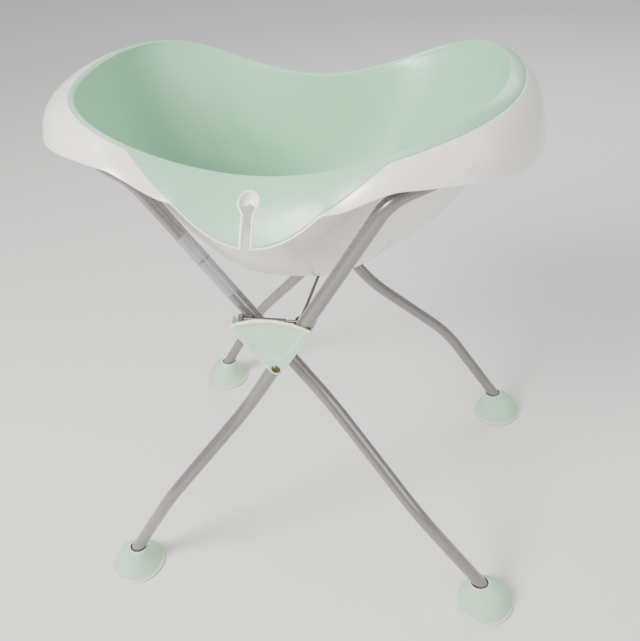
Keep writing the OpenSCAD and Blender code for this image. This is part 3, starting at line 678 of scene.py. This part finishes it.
@dataclass
class Tub:
    """The white shell, the coloured liner in it and the keyhole slot in the front apron."""

    form: TubForm
    finishes: Finishes
    keyhole_z: float = 0.783
    keyhole_squash: float = 0.75
    keyhole_r: float = 0.0125
    slot_half_w: float = 0.006
    lip_w: float = 0.003
    lip_up: float = 0.0009
    sleeve_deep: float = 0.011
    sleeve_t: float = 0.0014
    drain_r: float = 0.0167
    ring_points: int = 336
    floor_run: float = 0.12
    wall_end: float = 0.955
    pocket_deep: float = 0.0085
    pocket_t: float = 0.0012

    def turns(self) -> np.ndarray:
        """Turns of the points in each ring."""
        return np.linspace(0, 2 * math.pi, self.ring_points, endpoint=False)

    def drain_rings(self, depth: float) -> list[np.ndarray]:
        """Rings from the round drain hole out to the bowl's own shape."""
        turn = self.turns()
        inner = self.drain_r * np.column_stack([np.cos(turn), np.sin(turn), np.zeros(len(turn))])
        inner[:, 2] = self.form.bowl_top_z - depth
        outer = self.form.under(turn, self.floor_run, depth)
        return [inner + (outer - inner) * f for f in np.linspace(0, 1, 5, endpoint=False)]

    def bowl_rings(self, depth: float, count: int) -> list[np.ndarray]:
        """Rings up the bowl's wall at a depth below the sheet."""
        share = np.linspace(0, 1, count)
        runs = self.floor_run + (self.wall_end - self.floor_run) * (1 - (1 - share) ** 1.6)
        return [self.form.under(self.turns(), run, depth) for run in runs]

    def liner_rings(self) -> list[np.ndarray]:
        """Rings of the liner: over its top, round its edge and back underneath."""
        form, turn = self.form, self.turns()
        end, width = form.liner_end(turn), form.skirt_width(turn)
        rings = self.drain_rings(0.0) + self.bowl_rings(0.0, 40)
        rings += [form.sheet(turn, run) for run in np.linspace(0.963, 1.0, 9)]
        edge_r = 0.0008
        for f in np.linspace(0.02, 1, 26):
            rings.append(form.sheet(turn, 1 + f * (end - edge_r / width)))
        for a in np.radians([22, 45, 68, 90]):
            back = edge_r * (1 - math.sin(a)) / width
            rings.append(form.under(turn, 1 + end - back, edge_r * (1 - math.cos(a))))
        rings.append(form.under(turn, 1 + end, form.liner_t))
        rings += [form.under(turn, 1 + f * end, form.liner_t) for f in np.linspace(0.94, 0.08, 12)]
        rings.append(form.sheet(turn, 1.0) - np.array([0, 0, form.liner_t]))
        rings += self.bowl_rings(form.liner_t, 24)[::-1] + self.drain_rings(form.liner_t)[::-1]
        return rings

    def shell_rings(self) -> list[np.ndarray]:
        """Rings of the shell: under the liner, flush beyond it, round the edge, back under."""
        form, turn = self.form, self.turns()
        end, width = form.liner_end(turn), form.skirt_width(turn)
        deep = form.lay + form.shell_t
        rings = self.drain_rings(form.lay) + self.bowl_rings(form.lay, 24)
        rings.append(form.sheet(turn, 1.0) - np.array([0, 0, form.lay]))
        rings += [form.under(turn, 1 + f * end, form.lay) for f in np.linspace(0.08, 1, 12)]
        start = end + 0.0004 / width
        bead = 0.0007
        rings.append(form.under(turn, 1 + start, form.lay))
        for a in np.radians([0, 30, 60, 90]):
            on = bead * (1 - math.cos(a)) / width
            rings.append(form.under(turn, 1 + start + on, bead * (1 - math.sin(a))))
        round_r = 0.0011
        stop = 1 - round_r / width
        first = start + bead / width
        for f in np.linspace(0.04, 1, 22):
            run = 1 + first + f * np.maximum(stop - first, 1e-4)
            rings.append(form.under(turn, np.minimum(1.9999, run), 0.0))
        for a in np.radians([25, 50, 70, 90]):
            back = round_r * (1 - math.sin(a)) / width
            rings.append(form.under(turn, 2 - back, round_r * (1 - math.cos(a))))
        rings.append(form.under(turn, 2.0, deep - round_r))
        rings.append(form.under(turn, 2 - 0.3 * round_r / width, deep - 0.3 * round_r))
        rings += [form.under(turn, 1 + f, deep) for f in np.linspace(0.98, 0.1, 20)]
        top, low = form.under(turn, 1.1, deep), form.under(turn, self.wall_end, deep)
        rings += [top + (low - top) * f for f in (0.25, 0.5, 0.75)]
        rings += self.bowl_rings(deep, 44)[::-1] + self.drain_rings(deep)[::-1]
        return rings

    def keyhole_outline(self, grow: float, low: float) -> np.ndarray:
        """The keyhole from the front: up its right side, round its top, down its left side.

        Args:
            grow: How much larger it is than the hole.
            low: Height that its sides start from.

        Returns:
            Pairs of place along X and height.
        """
        r, w = self.keyhole_r + grow, self.slot_half_w + grow
        join = self.keyhole_z - self.keyhole_squash * math.sqrt(r * r - w * w) - 0.003
        start = math.asin(w / r)
        sides = np.linspace(low, join, 22)
        # the slot's sides swing out to the round part instead of meeting it at a corner
        swing = 0.25
        turn = np.linspace(-math.pi / 2 + start + swing, 1.5 * math.pi - start - swing, 46)
        heights = self.keyhole_z + self.keyhole_squash * r * np.sin(turn)
        arc = np.column_stack([r * np.cos(turn), heights])
        right = np.column_stack([np.full(len(sides), w), sides])
        return np.vstack([right, arc, right[::-1] * np.array([-1, 1])])

    def cut(self, obj: Object, grow: float) -> Object:
        """Cuts the keyhole out of a skin."""
        cut_low, cut_from, cut_to = 0.70, -0.30, -0.196
        outline = self.keyhole_outline(grow, cut_low)
        rings = [np.column_stack([outline[:, 0], np.full(len(outline), y), outline[:, 1]])
                 for y in (cut_from, cut_to)]
        cutter = loft("keyhole_cutter", rings)
        modify(obj, "BOOLEAN", object=cutter, operation="DIFFERENCE", solver="EXACT")
        bpy.data.objects.remove(cutter)
        obj.data.shade_smooth()
        obj.data.set_sharp_from_angle(angle=math.radians(SHARP_DEG))
        return obj

    def build_skin(self, name: str, rings: list[np.ndarray], grow: float) -> Object:
        """A closed skin round the drain hole, with the keyhole cut out."""
        obj = add_mesh(name, np.vstack(rings), ring_faces(len(rings[0]), len(rings), wrap_rings=True))
        return self.cut(obj, grow)

    def build_lip(self) -> Object:
        """The raised lip round the keyhole and the short sleeve behind it."""
        form = self.form
        low = form.edge(np.array([1.5 * math.pi]))[0][2] + 0.0004
        outline = self.keyhole_outline(0.0, low)
        spots = [form.find(x, z) for x, z in outline]
        turn, run = np.array([s[0] for s in spots]), np.array([s[1] for s in spots])
        path, up = form.sheet(turn, run), form.normal(turn, run)
        along = unit(np.gradient(path, axis=0))
        away = unit(np.cross(up, along))
        middle = np.array([0, 0, self.keyhole_z])
        away *= np.sign(np.sum(away * (path - middle) * np.array([1, 0, 0.2]), axis=1))[:, None]
        w, h, t = self.lip_w, self.lip_up, self.sleeve_t
        section = [(0, -self.sleeve_deep), (0, h * 0.3), (w * 0.12, h * 0.75), (w * 0.35, h),
                   (w * 0.7, h * 0.92), (w * 0.95, h * 0.45), (w * 1.04, -0.0002),
                   (w * 1.0, -0.0022), (t, -0.003), (t, -self.sleeve_deep)]
        rings = [p + np.array([x * a + z * u for x, z in section])
                 for p, a, u in zip(path, away, up)]
        return loft("keyhole_lip", rings)

    def build_hood(self) -> Object:
        """The small dished pocket behind the keyhole's round part."""
        form = self.form
        turn, run = form.find(0.0, self.keyhole_z)
        at, up = form.sheet(turn, run)[0], form.normal(turn, run)[0]
        across = np.array([1.0, 0, 0])
        rise = unit(np.cross(up, across)) * -1
        rise = rise if rise[2] > 0 else -rise
        stretch = self.keyhole_squash / max(rise[2], 0.3)
        spread = np.radians(np.linspace(-30, 210, 40))
        shares = np.sin(np.linspace(math.pi / 2, 0.02, 12))
        top = []
        for f in shares:
            reach = f * (self.keyhole_r + 0.0003)
            deep = self.pocket_t + self.pocket_deep * math.sqrt(max(0.0, 1 - f * f))
            top.append(at + np.outer(reach * np.cos(spread), across)
                       + np.outer(reach * stretch * np.sin(spread), rise) - deep * up)
        count = len(spread)
        verts = np.vstack(top)
        faces = [[a, a + 1, a + count + 1, a + count] for k in range(len(top) - 1)
                 for a in range(k * count, k * count + count - 1)]
        obj = add_mesh("keyhole_pocket", verts, faces)
        return modify(obj, "SOLIDIFY", thickness=self.pocket_t, offset=-1.0)

    def build(self) -> None:
        """Builds and dresses the tub's pieces."""
        shell = self.build_skin("tub_outer_shell", self.shell_rings(), 0.0)
        settle(shell, Body.TUB, self.finishes.shell, "white_plastic", "tub_shell")
        liner = self.build_skin("bath_liner_skin", self.liner_rings(), self.lip_w - 0.0006)
        settle(liner, Body.TUB, self.finishes.liner, "mint_plastic", "bath_liner")
        settle(self.build_lip(), Body.TUB, self.finishes.lip, "white_plastic")
        settle(self.build_hood(), Body.TUB, self.finishes.lip, "white_plastic")


# --- Stand ---
@dataclass
class StandFrame:
    """One of the two U-shaped tube frames: two legs, the top loop and the feet."""

    body: Body
    prefix: str
    y: float
    lean: int
    finishes: Finishes
    pivot_z: float = 0.5
    slope_deg: float = 57.5
    tube_r: float = 0.011
    knee_drop: float = 0.105
    shin_drop: float = 0.280
    leg_splay: float = 0.069
    shin_x: float = 0.217
    shoulder_rise: float = 0.286
    loop_reach: float = 0.325
    loop_tilt_deg: float = 13.4
    loop_lead: float = 0.038
    lower_bend_r: float = 0.280
    bend_r: float = 0.058
    sock_z: float = 0.012
    tube_points: int = 44
    foot_points: int = 96
    foot_grow: float = 0.005
    foot_lip_h: float = 0.0036

    @property
    def slope_run(self) -> float:
        """Distance along X for each metre of rise."""
        return 1 / math.tan(math.radians(self.slope_deg))

    def turned(self, points: np.ndarray, side: int = 1) -> np.ndarray:
        """Points carried to this frame's lean and to the front (1) or rear (-1) side."""
        return np.asarray(points, float) * np.array([self.lean, side, 1])

    def loop_shape(self) -> tuple[float, float, float]:
        """Depth of the loop in its plane, its radius, and the angle of its leads."""
        flat_sag = self.loop_reach - self.shoulder_rise * self.slope_run
        sag = flat_sag / math.cos(math.radians(self.loop_tilt_deg))
        r = (sag**2 + self.y**2 - self.loop_lead**2) / (2 * sag)
        back = sag - r
        lead = math.atan2(self.y, back) - math.asin(r / math.hypot(back, self.y))
        return sag, r, lead

    def on_loop(self, e: float, y: float) -> list[float]:
        """A point in the loop's tilted plane."""
        tilt = math.radians(self.loop_tilt_deg)
        return [self.shoulder_rise * self.slope_run + e * math.cos(tilt), y,
                self.pivot_z + self.shoulder_rise + e * math.sin(tilt)]

    def leg_corners(self) -> list[list[float]]:
        """Corners of a front leg's centre line, leaning to +X."""
        shin_z = self.pivot_z - self.shin_drop
        _, _, lead = self.loop_shape()
        low_y = -self.y - self.leg_splay
        return [
            [-self.shin_x - (shin_z - self.sock_z) * self.slope_run, low_y, self.sock_z],
            [-self.shin_x, low_y, shin_z],
            [-self.knee_drop * self.slope_run, -self.y, self.pivot_z - self.knee_drop],
            [self.shoulder_rise * self.slope_run, -self.y, self.pivot_z + self.shoulder_rise],
            self.on_loop(self.loop_lead * math.cos(lead), -self.y + self.loop_lead * math.sin(lead))]

    def build_leg(self, side: int) -> None:
        """One bent leg tube.

        Args:
            side: 1 for the front, -1 for the rear.
        """
        name = f"{self.prefix}_{side_word(side)}_leg"
        line = bent_line(self.leg_corners(), (self.lower_bend_r, self.lower_bend_r, self.bend_r))
        line = self.turned(densify(line, 0.02), side)
        self.settle_tube(f"{name}_tube", line, np.array([0, 1.0, 0]), name)

    def build_loop(self) -> None:
        """The round top loop between the two legs."""
        sag, r, lead = self.loop_shape()
        half = math.pi / 2 - lead
        turn = np.linspace(-half, half, 90)
        points = np.array([self.on_loop(sag - r + r * math.cos(a), r * math.sin(a)) for a in turn])
        self.settle_tube(f"{self.prefix}_loop_tube", self.turned(points), np.array([0, 0, 1.0]),
                         f"{self.prefix}_top_loop")

    def settle_tube(self, name: str, line: np.ndarray, across: np.ndarray, node: str) -> None:
        """Sweeps a tube along a line and lets it stand for its CAD node."""
        tube = loft(name, sweep(line, circle(self.tube_r, self.tube_points), across))
        settle(tube, self.body, self.finishes.tube, "tube_steel", node)

    def build_foot(self, side: int) -> None:
        """One bell-shaped foot with a rolled rim and a slanted socket for the tube."""
        name = f"{self.prefix}_{side_word(side)}_foot"
        low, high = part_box(name)
        middle = (low + high) / 2
        r, sole, top = (high.x - low.x) / 2, low.z, high.z - low.z + self.foot_grow
        lip_h = self.foot_lip_h
        lip = [(r - 0.012, 0.0026), (r - 0.006, 0.0004), (r - 0.0015, 0.0), (r - 0.0003, 0.0008),
               (r, 0.0016), (r - 0.0006, 0.0026), (r - 0.002, 0.0032), (r - 0.0042, lip_h)]
        bell = [(0.88, 0.09), (0.82, 0.20), (0.725, 0.36), (0.62, 0.54), (0.515, 0.70),
                (0.43, 0.83), (0.368, 0.92), (0.335, 0.965)]
        outside = [(0.001, 0.0026)] + lip + [(f * r, lip_h + g * (top - lip_h)) for f, g in bell]
        hole = self.tube_r + 0.0012
        collar = [(hole + 0.0034, top - 0.0006), (hole + 0.0024, top),
                  (hole + 0.0012, top - 0.0002)]
        inside = [(hole + 0.0002, top - 0.0014), (hole, top - 0.012), (hole, 0.014), (0.001, 0.014)]
        slant = 1 / math.sin(math.radians(self.slope_deg)) - 1
        rings = []
        for k, (radius, h) in enumerate(outside + collar + inside):
            # the bell's top leans over to where the slanted tube comes out
            share = 1.0 if k >= len(outside) else float(ease(h / top)) ** 1.5
            drift = (self.tube_x(sole + h) - middle.x) * share
            ring = circle(radius, self.foot_points) * np.array([1 + slant * share, 1])
            ring += np.array([middle.x + drift, middle.y])
            rings.append(np.column_stack([ring, np.full(self.foot_points, sole + h)]))
        foot = modify(loft(f"{name}_bell", rings), "SUBSURF", levels=1, render_levels=1)
        foot.data.shade_smooth()
        settle(foot, self.body, self.finishes.foot, "mint_foot", name)
        lip_top, collar_low = sole + 0.0030, sole + top - 0.0004
        accent(foot, self.finishes.trim, lambda at, up: at.z > collar_low or (
            at.z < lip_top and math.hypot(at.x - middle.x, at.y - middle.y) > r - 0.0045))

    def tube_x(self, z: float) -> float:
        """Where the lowest run of the tube is along X at a height."""
        return -self.lean * (self.shin_x + (self.pivot_z - self.shin_drop - z) * self.slope_run)

    def build(self) -> None:
        """Builds and dresses the frame's tubes and feet."""
        for side in (1, -1):
            self.build_leg(side)
            self.build_foot(side)
        self.build_loop()


@dataclass
class PivotCovers:
    """The two crowned covers over the pivots, open at the top where the tubes come out."""

    finishes: Finishes
    pivot_z: float = 0.5
    rise: float = 0.092
    half_w: float = 0.062
    wall: float = 0.0022
    deep: float = 0.028
    face_y: float = 0.222
    tip_r: float = 0.012
    corner_r: float = 0.004
    flange_from: float = 0.050
    flange_rise: float = 0.009
    dish: float = 0.0018
    dish_inset: float = 0.0095
    roll: float = 0.0013
    edge_deep: float = 0.004
    hub_z: float = 0.052
    lean_deg: float = 56.3

    @property
    def hub(self) -> np.ndarray:
        """Middle of the dish, X and height above the pivot."""
        return np.array([0.0, self.hub_z])

    def side_line(self) -> tuple[np.ndarray, np.ndarray]:
        """Directions up along the right side and square to it."""
        lean = math.radians(self.lean_deg)
        return (np.array([math.cos(lean), math.sin(lean)]),
                np.array([math.sin(lean), -math.cos(lean)]))

    def outline(self, inset: float) -> np.ndarray:
        """The cover's outline in X and Z about the pivot, from the tip's left round to the left.

        Args:
            inset: How far inside the outer edge it runs.

        Returns:
            Pairs of X and Z.
        """
        count = 12
        corner = np.array([self.half_w - self.corner_r + 0.001, self.rise - 0.018])
        r = max(0.0005, self.corner_r - inset)
        narrow = math.asin((self.tip_r - self.corner_r) / np.hypot(*corner))
        side = math.atan2(corner[1], corner[0]) - math.pi / 2 + narrow
        crown = self.rise - corner[1] - self.corner_r
        crown_r = (corner[0] ** 2 + crown**2) / (2 * crown)
        crown_z = corner[1] + crown - crown_r
        bisector = (np.array([corner[0], corner[1] - crown_z]) / crown_r
                    + np.array([math.cos(side), math.sin(side)]))
        centre = corner - (inset + r - self.corner_r) * bisector / (bisector.dot(bisector) / 2)
        swing = math.atan2(centre[0], centre[1] - crown_z)

        def arc(c: Sequence[float], radius: float, start: float, stop: float, n: int) -> np.ndarray:
            a = np.linspace(start, stop, n)
            return np.asarray(c) + radius * np.column_stack([np.cos(a), np.sin(a)])

        tip = arc([0, 0], self.tip_r - inset, math.pi - side, 2 * math.pi + side, 26)
        end = arc(centre, r, side, side, 1)[0]
        straight = [tip[-1] + (end - tip[-1]) * f for f in np.linspace(0.08, 0.92, 12)]
        right = arc(centre, r, side, math.pi / 2 - swing, count)
        top = arc([0, crown_z], crown_r + self.corner_r - inset,
                  math.pi / 2 - swing, math.pi / 2 + swing, 33)[1:-1]
        left = arc([-centre[0], centre[1]], r, math.pi / 2 + swing, math.pi - side, count)
        back = [np.array([-p[0], p[1]]) for p in straight[::-1]]
        return np.vstack([tip, straight, right, top, left, back])

    def dish_outline(self, rim: np.ndarray) -> np.ndarray:
        """The dish's edge, straight inside each point of the cover's outline.

        Args:
            rim: The cover's outline, pairs of X and height above the pivot.

        Returns:
            One pair for each outline point.
        """
        hub = self.hub
        away = unit(rim - hub)
        upward, across = self.side_line()
        side_gap = -hub.dot(across) + self.tip_r - self.dish_inset
        facing = np.abs(away[:, 0]) * across[0] + away[:, 1] * across[1]
        to_side = side_gap / np.maximum(facing, 1e-4)
        top_gap = self.rise - 0.0045 - hub[1] - 0.014 * (away[:, 0] * 0.9) ** 2
        to_top = top_gap / np.maximum(away[:, 1], 1e-4)
        tip_z = 0.048
        tip_r = self.tip_r + tip_z * upward[0] - self.dish_inset
        drop = hub[1] - tip_z
        along = away[:, 1] * drop
        to_tip = -along + np.sqrt(along**2 + tip_r**2 - drop**2)
        low = hub[1] + away[:, 1] * to_side < tip_z - tip_r * upward[0]
        reach = np.where(low | (away[:, 1] < -0.75), np.minimum(to_tip, to_side), to_side)
        corner = 14.0
        reach = (reach**-corner + to_top**-corner) ** (-1 / corner)
        return hub + away * reach[:, None]

    def build_cover(self, side: int) -> None:
        """One cover: a face with a rolled edge and a shallow dish, and two side flanges.

        Args:
            side: 1 for the front, -1 for the rear.
        """
        name = f"{side_word(side)}_cover"
        roll, face, hub, edge = self.roll, self.face_y, self.hub, self.edge_deep
        rim = self.outline(roll)
        dish = self.dish_outline(rim)
        rings = [self.ring(inset, face - y) for inset, y in (
            (0.0, edge), (0.0, roll), (roll * 0.3, roll * 0.3), (roll, 0.0))]
        for f in (0.35, 0.7, 0.94):
            rings.append(self.flat(rim + (dish - rim) * f, face))
        for f, deep in ((1.0, 0.12), (0.965, 0.55), (0.93, 0.88), (0.89, 1.0), (0.6, 1.0),
                        (0.3, 1.0)):
            rings.append(self.flat(hub + (dish - hub) * f, face - self.dish * deep))
        inner = [self.ring(self.wall, face - y) for y in (edge, self.wall)]
        count, n = len(rings[0]), len(rings)
        poles = [self.flat(hub[None], face - y) for y in (self.dish, self.wall)]
        verts = np.vstack(rings + [poles[0]] + inner + [poles[1]])
        pole, back = n * count, n * count + 1
        last = back + 2 * count
        faces = ring_faces(count, n) + [[back + a for a in f] for f in ring_faces(count, 2)]
        for i in range(count):
            j = (i + 1) % count
            faces += [[pole - count + i, pole - count + j, pole],
                      [back + count + i, back + count + j, last], [i, j, back + j, back + i]]
        obj = add_mesh(f"{name}_face", verts * np.array([1, side, 1]), faces, 60)
        settle(obj, Body.OUTER, self.finishes.cover, "mint_plastic", name)
        accent(obj, self.finishes.trim,
               lambda at, out: abs(out.y) < 0.93 and face - edge - 0.0001 < abs(at.y) < face - 0.00005
               and self.near_edge(at))
        for hand in (1, -1):
            self.build_flange(name, side, hand)

    def near_edge(self, at: Vector) -> bool:
        """Whether a point of the face is within the rolled edge round its outline."""
        rim = self.flat(self.outline(0.0), 0.0)
        return float(np.min(np.hypot(rim[:, 0] - at.x, rim[:, 2] - at.z))) < 0.0045

    def flat(self, pairs: np.ndarray, y: float) -> np.ndarray:
        """Points of the front face from pairs of X and height above the pivot."""
        return np.column_stack([pairs[:, 0], np.full(len(pairs), -y), pairs[:, 1] + self.pivot_z])

    def ring(self, inset: float, y: float) -> np.ndarray:
        """The outline at a distance from the middle plane, on the front side."""
        return self.flat(self.outline(inset), y)

    def build_flange(self, name: str, side: int, hand: int) -> None:
        """One side flange that runs back from the face to beside the tubes.

        Args:
            name: The cover's name.
            side: 1 for the front, -1 for the rear.
            hand: 1 for the right, -1 for the left.
        """
        along, across = self.side_line()
        foot, head = self.flange_from / along[1], (self.rise - 0.0145) / along[1]
        back, front, r = self.face_y - self.deep, self.face_y - 0.001, 0.0009
        rows = []
        for f in np.concatenate([[0.0, 0.01], np.linspace(0.05, 0.95, 8), [0.985, 1.0]]):
            slim = r * (0.6 if f in (0.0, 1.0) else 0.0)
            # the lower end slopes back up to the face
            far = back + (front - back - 0.002) * float(1 - ease(f / 0.35)) ** 1.5
            t = self.wall - slim
            shape = [(-slim, front), (-slim, far + r), (-slim - r * 0.3, far + r * 0.3),
                     (-slim - r, far), (-t + r, far), (-t + r * 0.3, far + r * 0.3),
                     (-t, far + r), (-t, front)]
            row = []
            for o, y in shape:
                # the top edge rises towards the back
                lift = self.flange_rise * float(ease((f - 0.4) / 0.6)) * (front - y) / (front - back)
                at = along * (foot + (head - foot) * f + lift) + across * (self.tip_r + o)
                row.append([at[0] * hand, -y * side, at[1] + self.pivot_z])
            rows.append(np.array(row))
        obj = loft(f"{name}_flange_{'right' if hand > 0 else 'left'}", rows)
        settle(obj, Body.OUTER, self.finishes.cover, "mint_plastic")
        accent(obj, self.finishes.trim, lambda at, out: abs(at.y) < back + 0.0012 or out.z > 0.8)

    def build(self) -> None:
        """Builds and dresses both covers."""
        for side in (1, -1):
            self.build_cover(side)


@dataclass
class Hardware:
    """The CAD nodes whose shape stays: bolts, catches, lock bar, saddles, labels, drain."""

    finishes: Finishes

    def dress(self) -> None:
        """Gives each shown CAD node its finish."""
        f = self.finishes
        looks: list[tuple[Material, str]] = [
            (f.brass, "pivot_bolts"),
            (f.steel, "pivot_washers pivot_nuts catch_rivets lug_pins outer_joint_sleeves "
                      "inner_joint_sleeves drain_body"),
            (f.dark, "front_catch rear_catch front_bar_lug rear_bar_lug lock_bar"),
            (f.white, "frame_spacers pivot_bushes outer_front_saddle outer_rear_saddle "
                      "inner_front_saddle inner_rear_saddle drain_nut"),
            (f.black, "bar_grips"),
            (f.rubber, "outer_foot_soles inner_foot_soles drain_gasket"),
            (f.film, "upper_label lower_label"),
            (f.liner, "drain_plug")]
        for material, names in looks:
            for name in names.split():
                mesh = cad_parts[name].data
                mesh.materials.clear()
                mesh.materials.append(material)
                log.info("%s: dressed in %s", name, material.name)


# --- Studio ---
@dataclass
class Studio:
    """Floor, lights and the camera."""

    azimuth: float = 17.1
    elevation: float = 37.4
    roll: float = -6.6
    distance: float = 1.297
    target: tuple[float, float, float] = (0.0188, -0.0269, 0.4444)
    lens: float = 41.4
    floor_half: float = 6.0
    light_aim: tuple[float, float, float] = (0, 0, 0.6)

    def build_floor(self) -> None:
        """A wide, flat, pale floor."""
        mesh = bpy.data.meshes.new("studio_floor")
        shape = bmesh.new()
        bmesh.ops.create_grid(shape, x_segments=24, y_segments=24, size=self.floor_half)
        shape.to_mesh(mesh)
        shape.free()
        floor = bpy.data.objects.new("studio_floor", mesh)
        bpy.context.scene.collection.objects.link(floor)
        material = bpy.data.materials.new("pale_floor")
        material.use_nodes = True
        n = Nodes(material.node_tree)
        shader = material.node_tree.nodes["Principled BSDF"]
        cloud = n.add("TexNoise", Scale=1.5, Detail=3.0).outputs["Fac"]
        n.put(n.mix(cloud, (0.74, 0.73, 0.71), (0.78, 0.77, 0.75)), shader.inputs["Base Color"])
        shader.inputs["Roughness"].default_value = 0.7
        floor.data.materials.append(material)

    def build_light(self, name: str, at: Sequence[float], size: float, power: float,
                    colour: Colour) -> None:
        """One soft square light.

        Args:
            name: The light's name.
            at: Where it hangs.
            size: Side of the square.
            power: Watts.
            colour: Its colour.
        """
        data = bpy.data.lights.new(name, "AREA")
        data.size, data.energy, data.color = size, power, colour
        light = bpy.data.objects.new(name, data)
        light.location = at
        light.rotation_mode = "QUATERNION"
        toward = Vector(self.light_aim) - Vector(at)
        light.rotation_quaternion = toward.to_track_quat("-Z", "Y")
        bpy.context.scene.collection.objects.link(light)

    def build_lights(self) -> None:
        """A broad key from the left, a weak fill, and a pale surround."""
        self.build_light("key_light", (-1.5, -1.9, 2.5), 1.1, 175, (1.0, 0.98, 0.95))
        self.build_light("fill_light", (2.4, -1.4, 1.7), 2.0, 36, (1.0, 0.97, 0.94))
        self.build_light("back_light", (0.6, 2.2, 2.4), 1.6, 42, (0.95, 0.98, 1.0))
        world = bpy.data.worlds.new("studio")
        world.use_nodes = True
        sky = world.node_tree.nodes["Background"]
        sky.inputs["Color"].default_value = (0.93, 0.94, 0.95, 1)
        sky.inputs["Strength"].default_value = 0.62
        bpy.context.scene.world = world

    def build_camera(self) -> None:
        """The camera, with the object leaning a little in its view."""
        a, e, r = (math.radians(v) for v in (self.azimuth, self.elevation, self.roll))
        back = Vector((math.sin(a) * math.cos(e), -math.cos(a) * math.cos(e), math.sin(e)))
        right = (-back).cross(Vector((0, 0, 1))).normalized()
        up = right.cross(-back)
        tilted_right = math.cos(r) * right + math.sin(r) * up
        tilted_up = -math.sin(r) * right + math.cos(r) * up
        data = bpy.data.cameras.new("camera")
        data.lens, data.sensor_width = self.lens, 36.0
        camera = bpy.data.objects.new("camera", data)
        turn = Matrix((tilted_right, tilted_up, back)).transposed().to_4x4()
        camera.matrix_world = Matrix.Translation(Vector(self.target) + back * self.distance) @ turn
        bpy.context.scene.collection.objects.link(camera)
        bpy.context.scene.camera = camera

    def build(self) -> None:
        """Builds the whole studio."""
        self.build_floor()
        self.build_lights()
        self.build_camera()


def main() -> None:
    """Builds every sub-assembly in order."""
    Studio().build()
    finishes = Finishes()
    Tub(TubForm(), finishes).build()
    StandFrame(Body.OUTER, "outer", 0.206, 1, finishes).build()
    StandFrame(Body.INNER, "inner", 0.175, -1, finishes).build()
    PivotCovers(finishes).build()
    Hardware(finishes).dress()


if __name__ == "__main__":
    main()
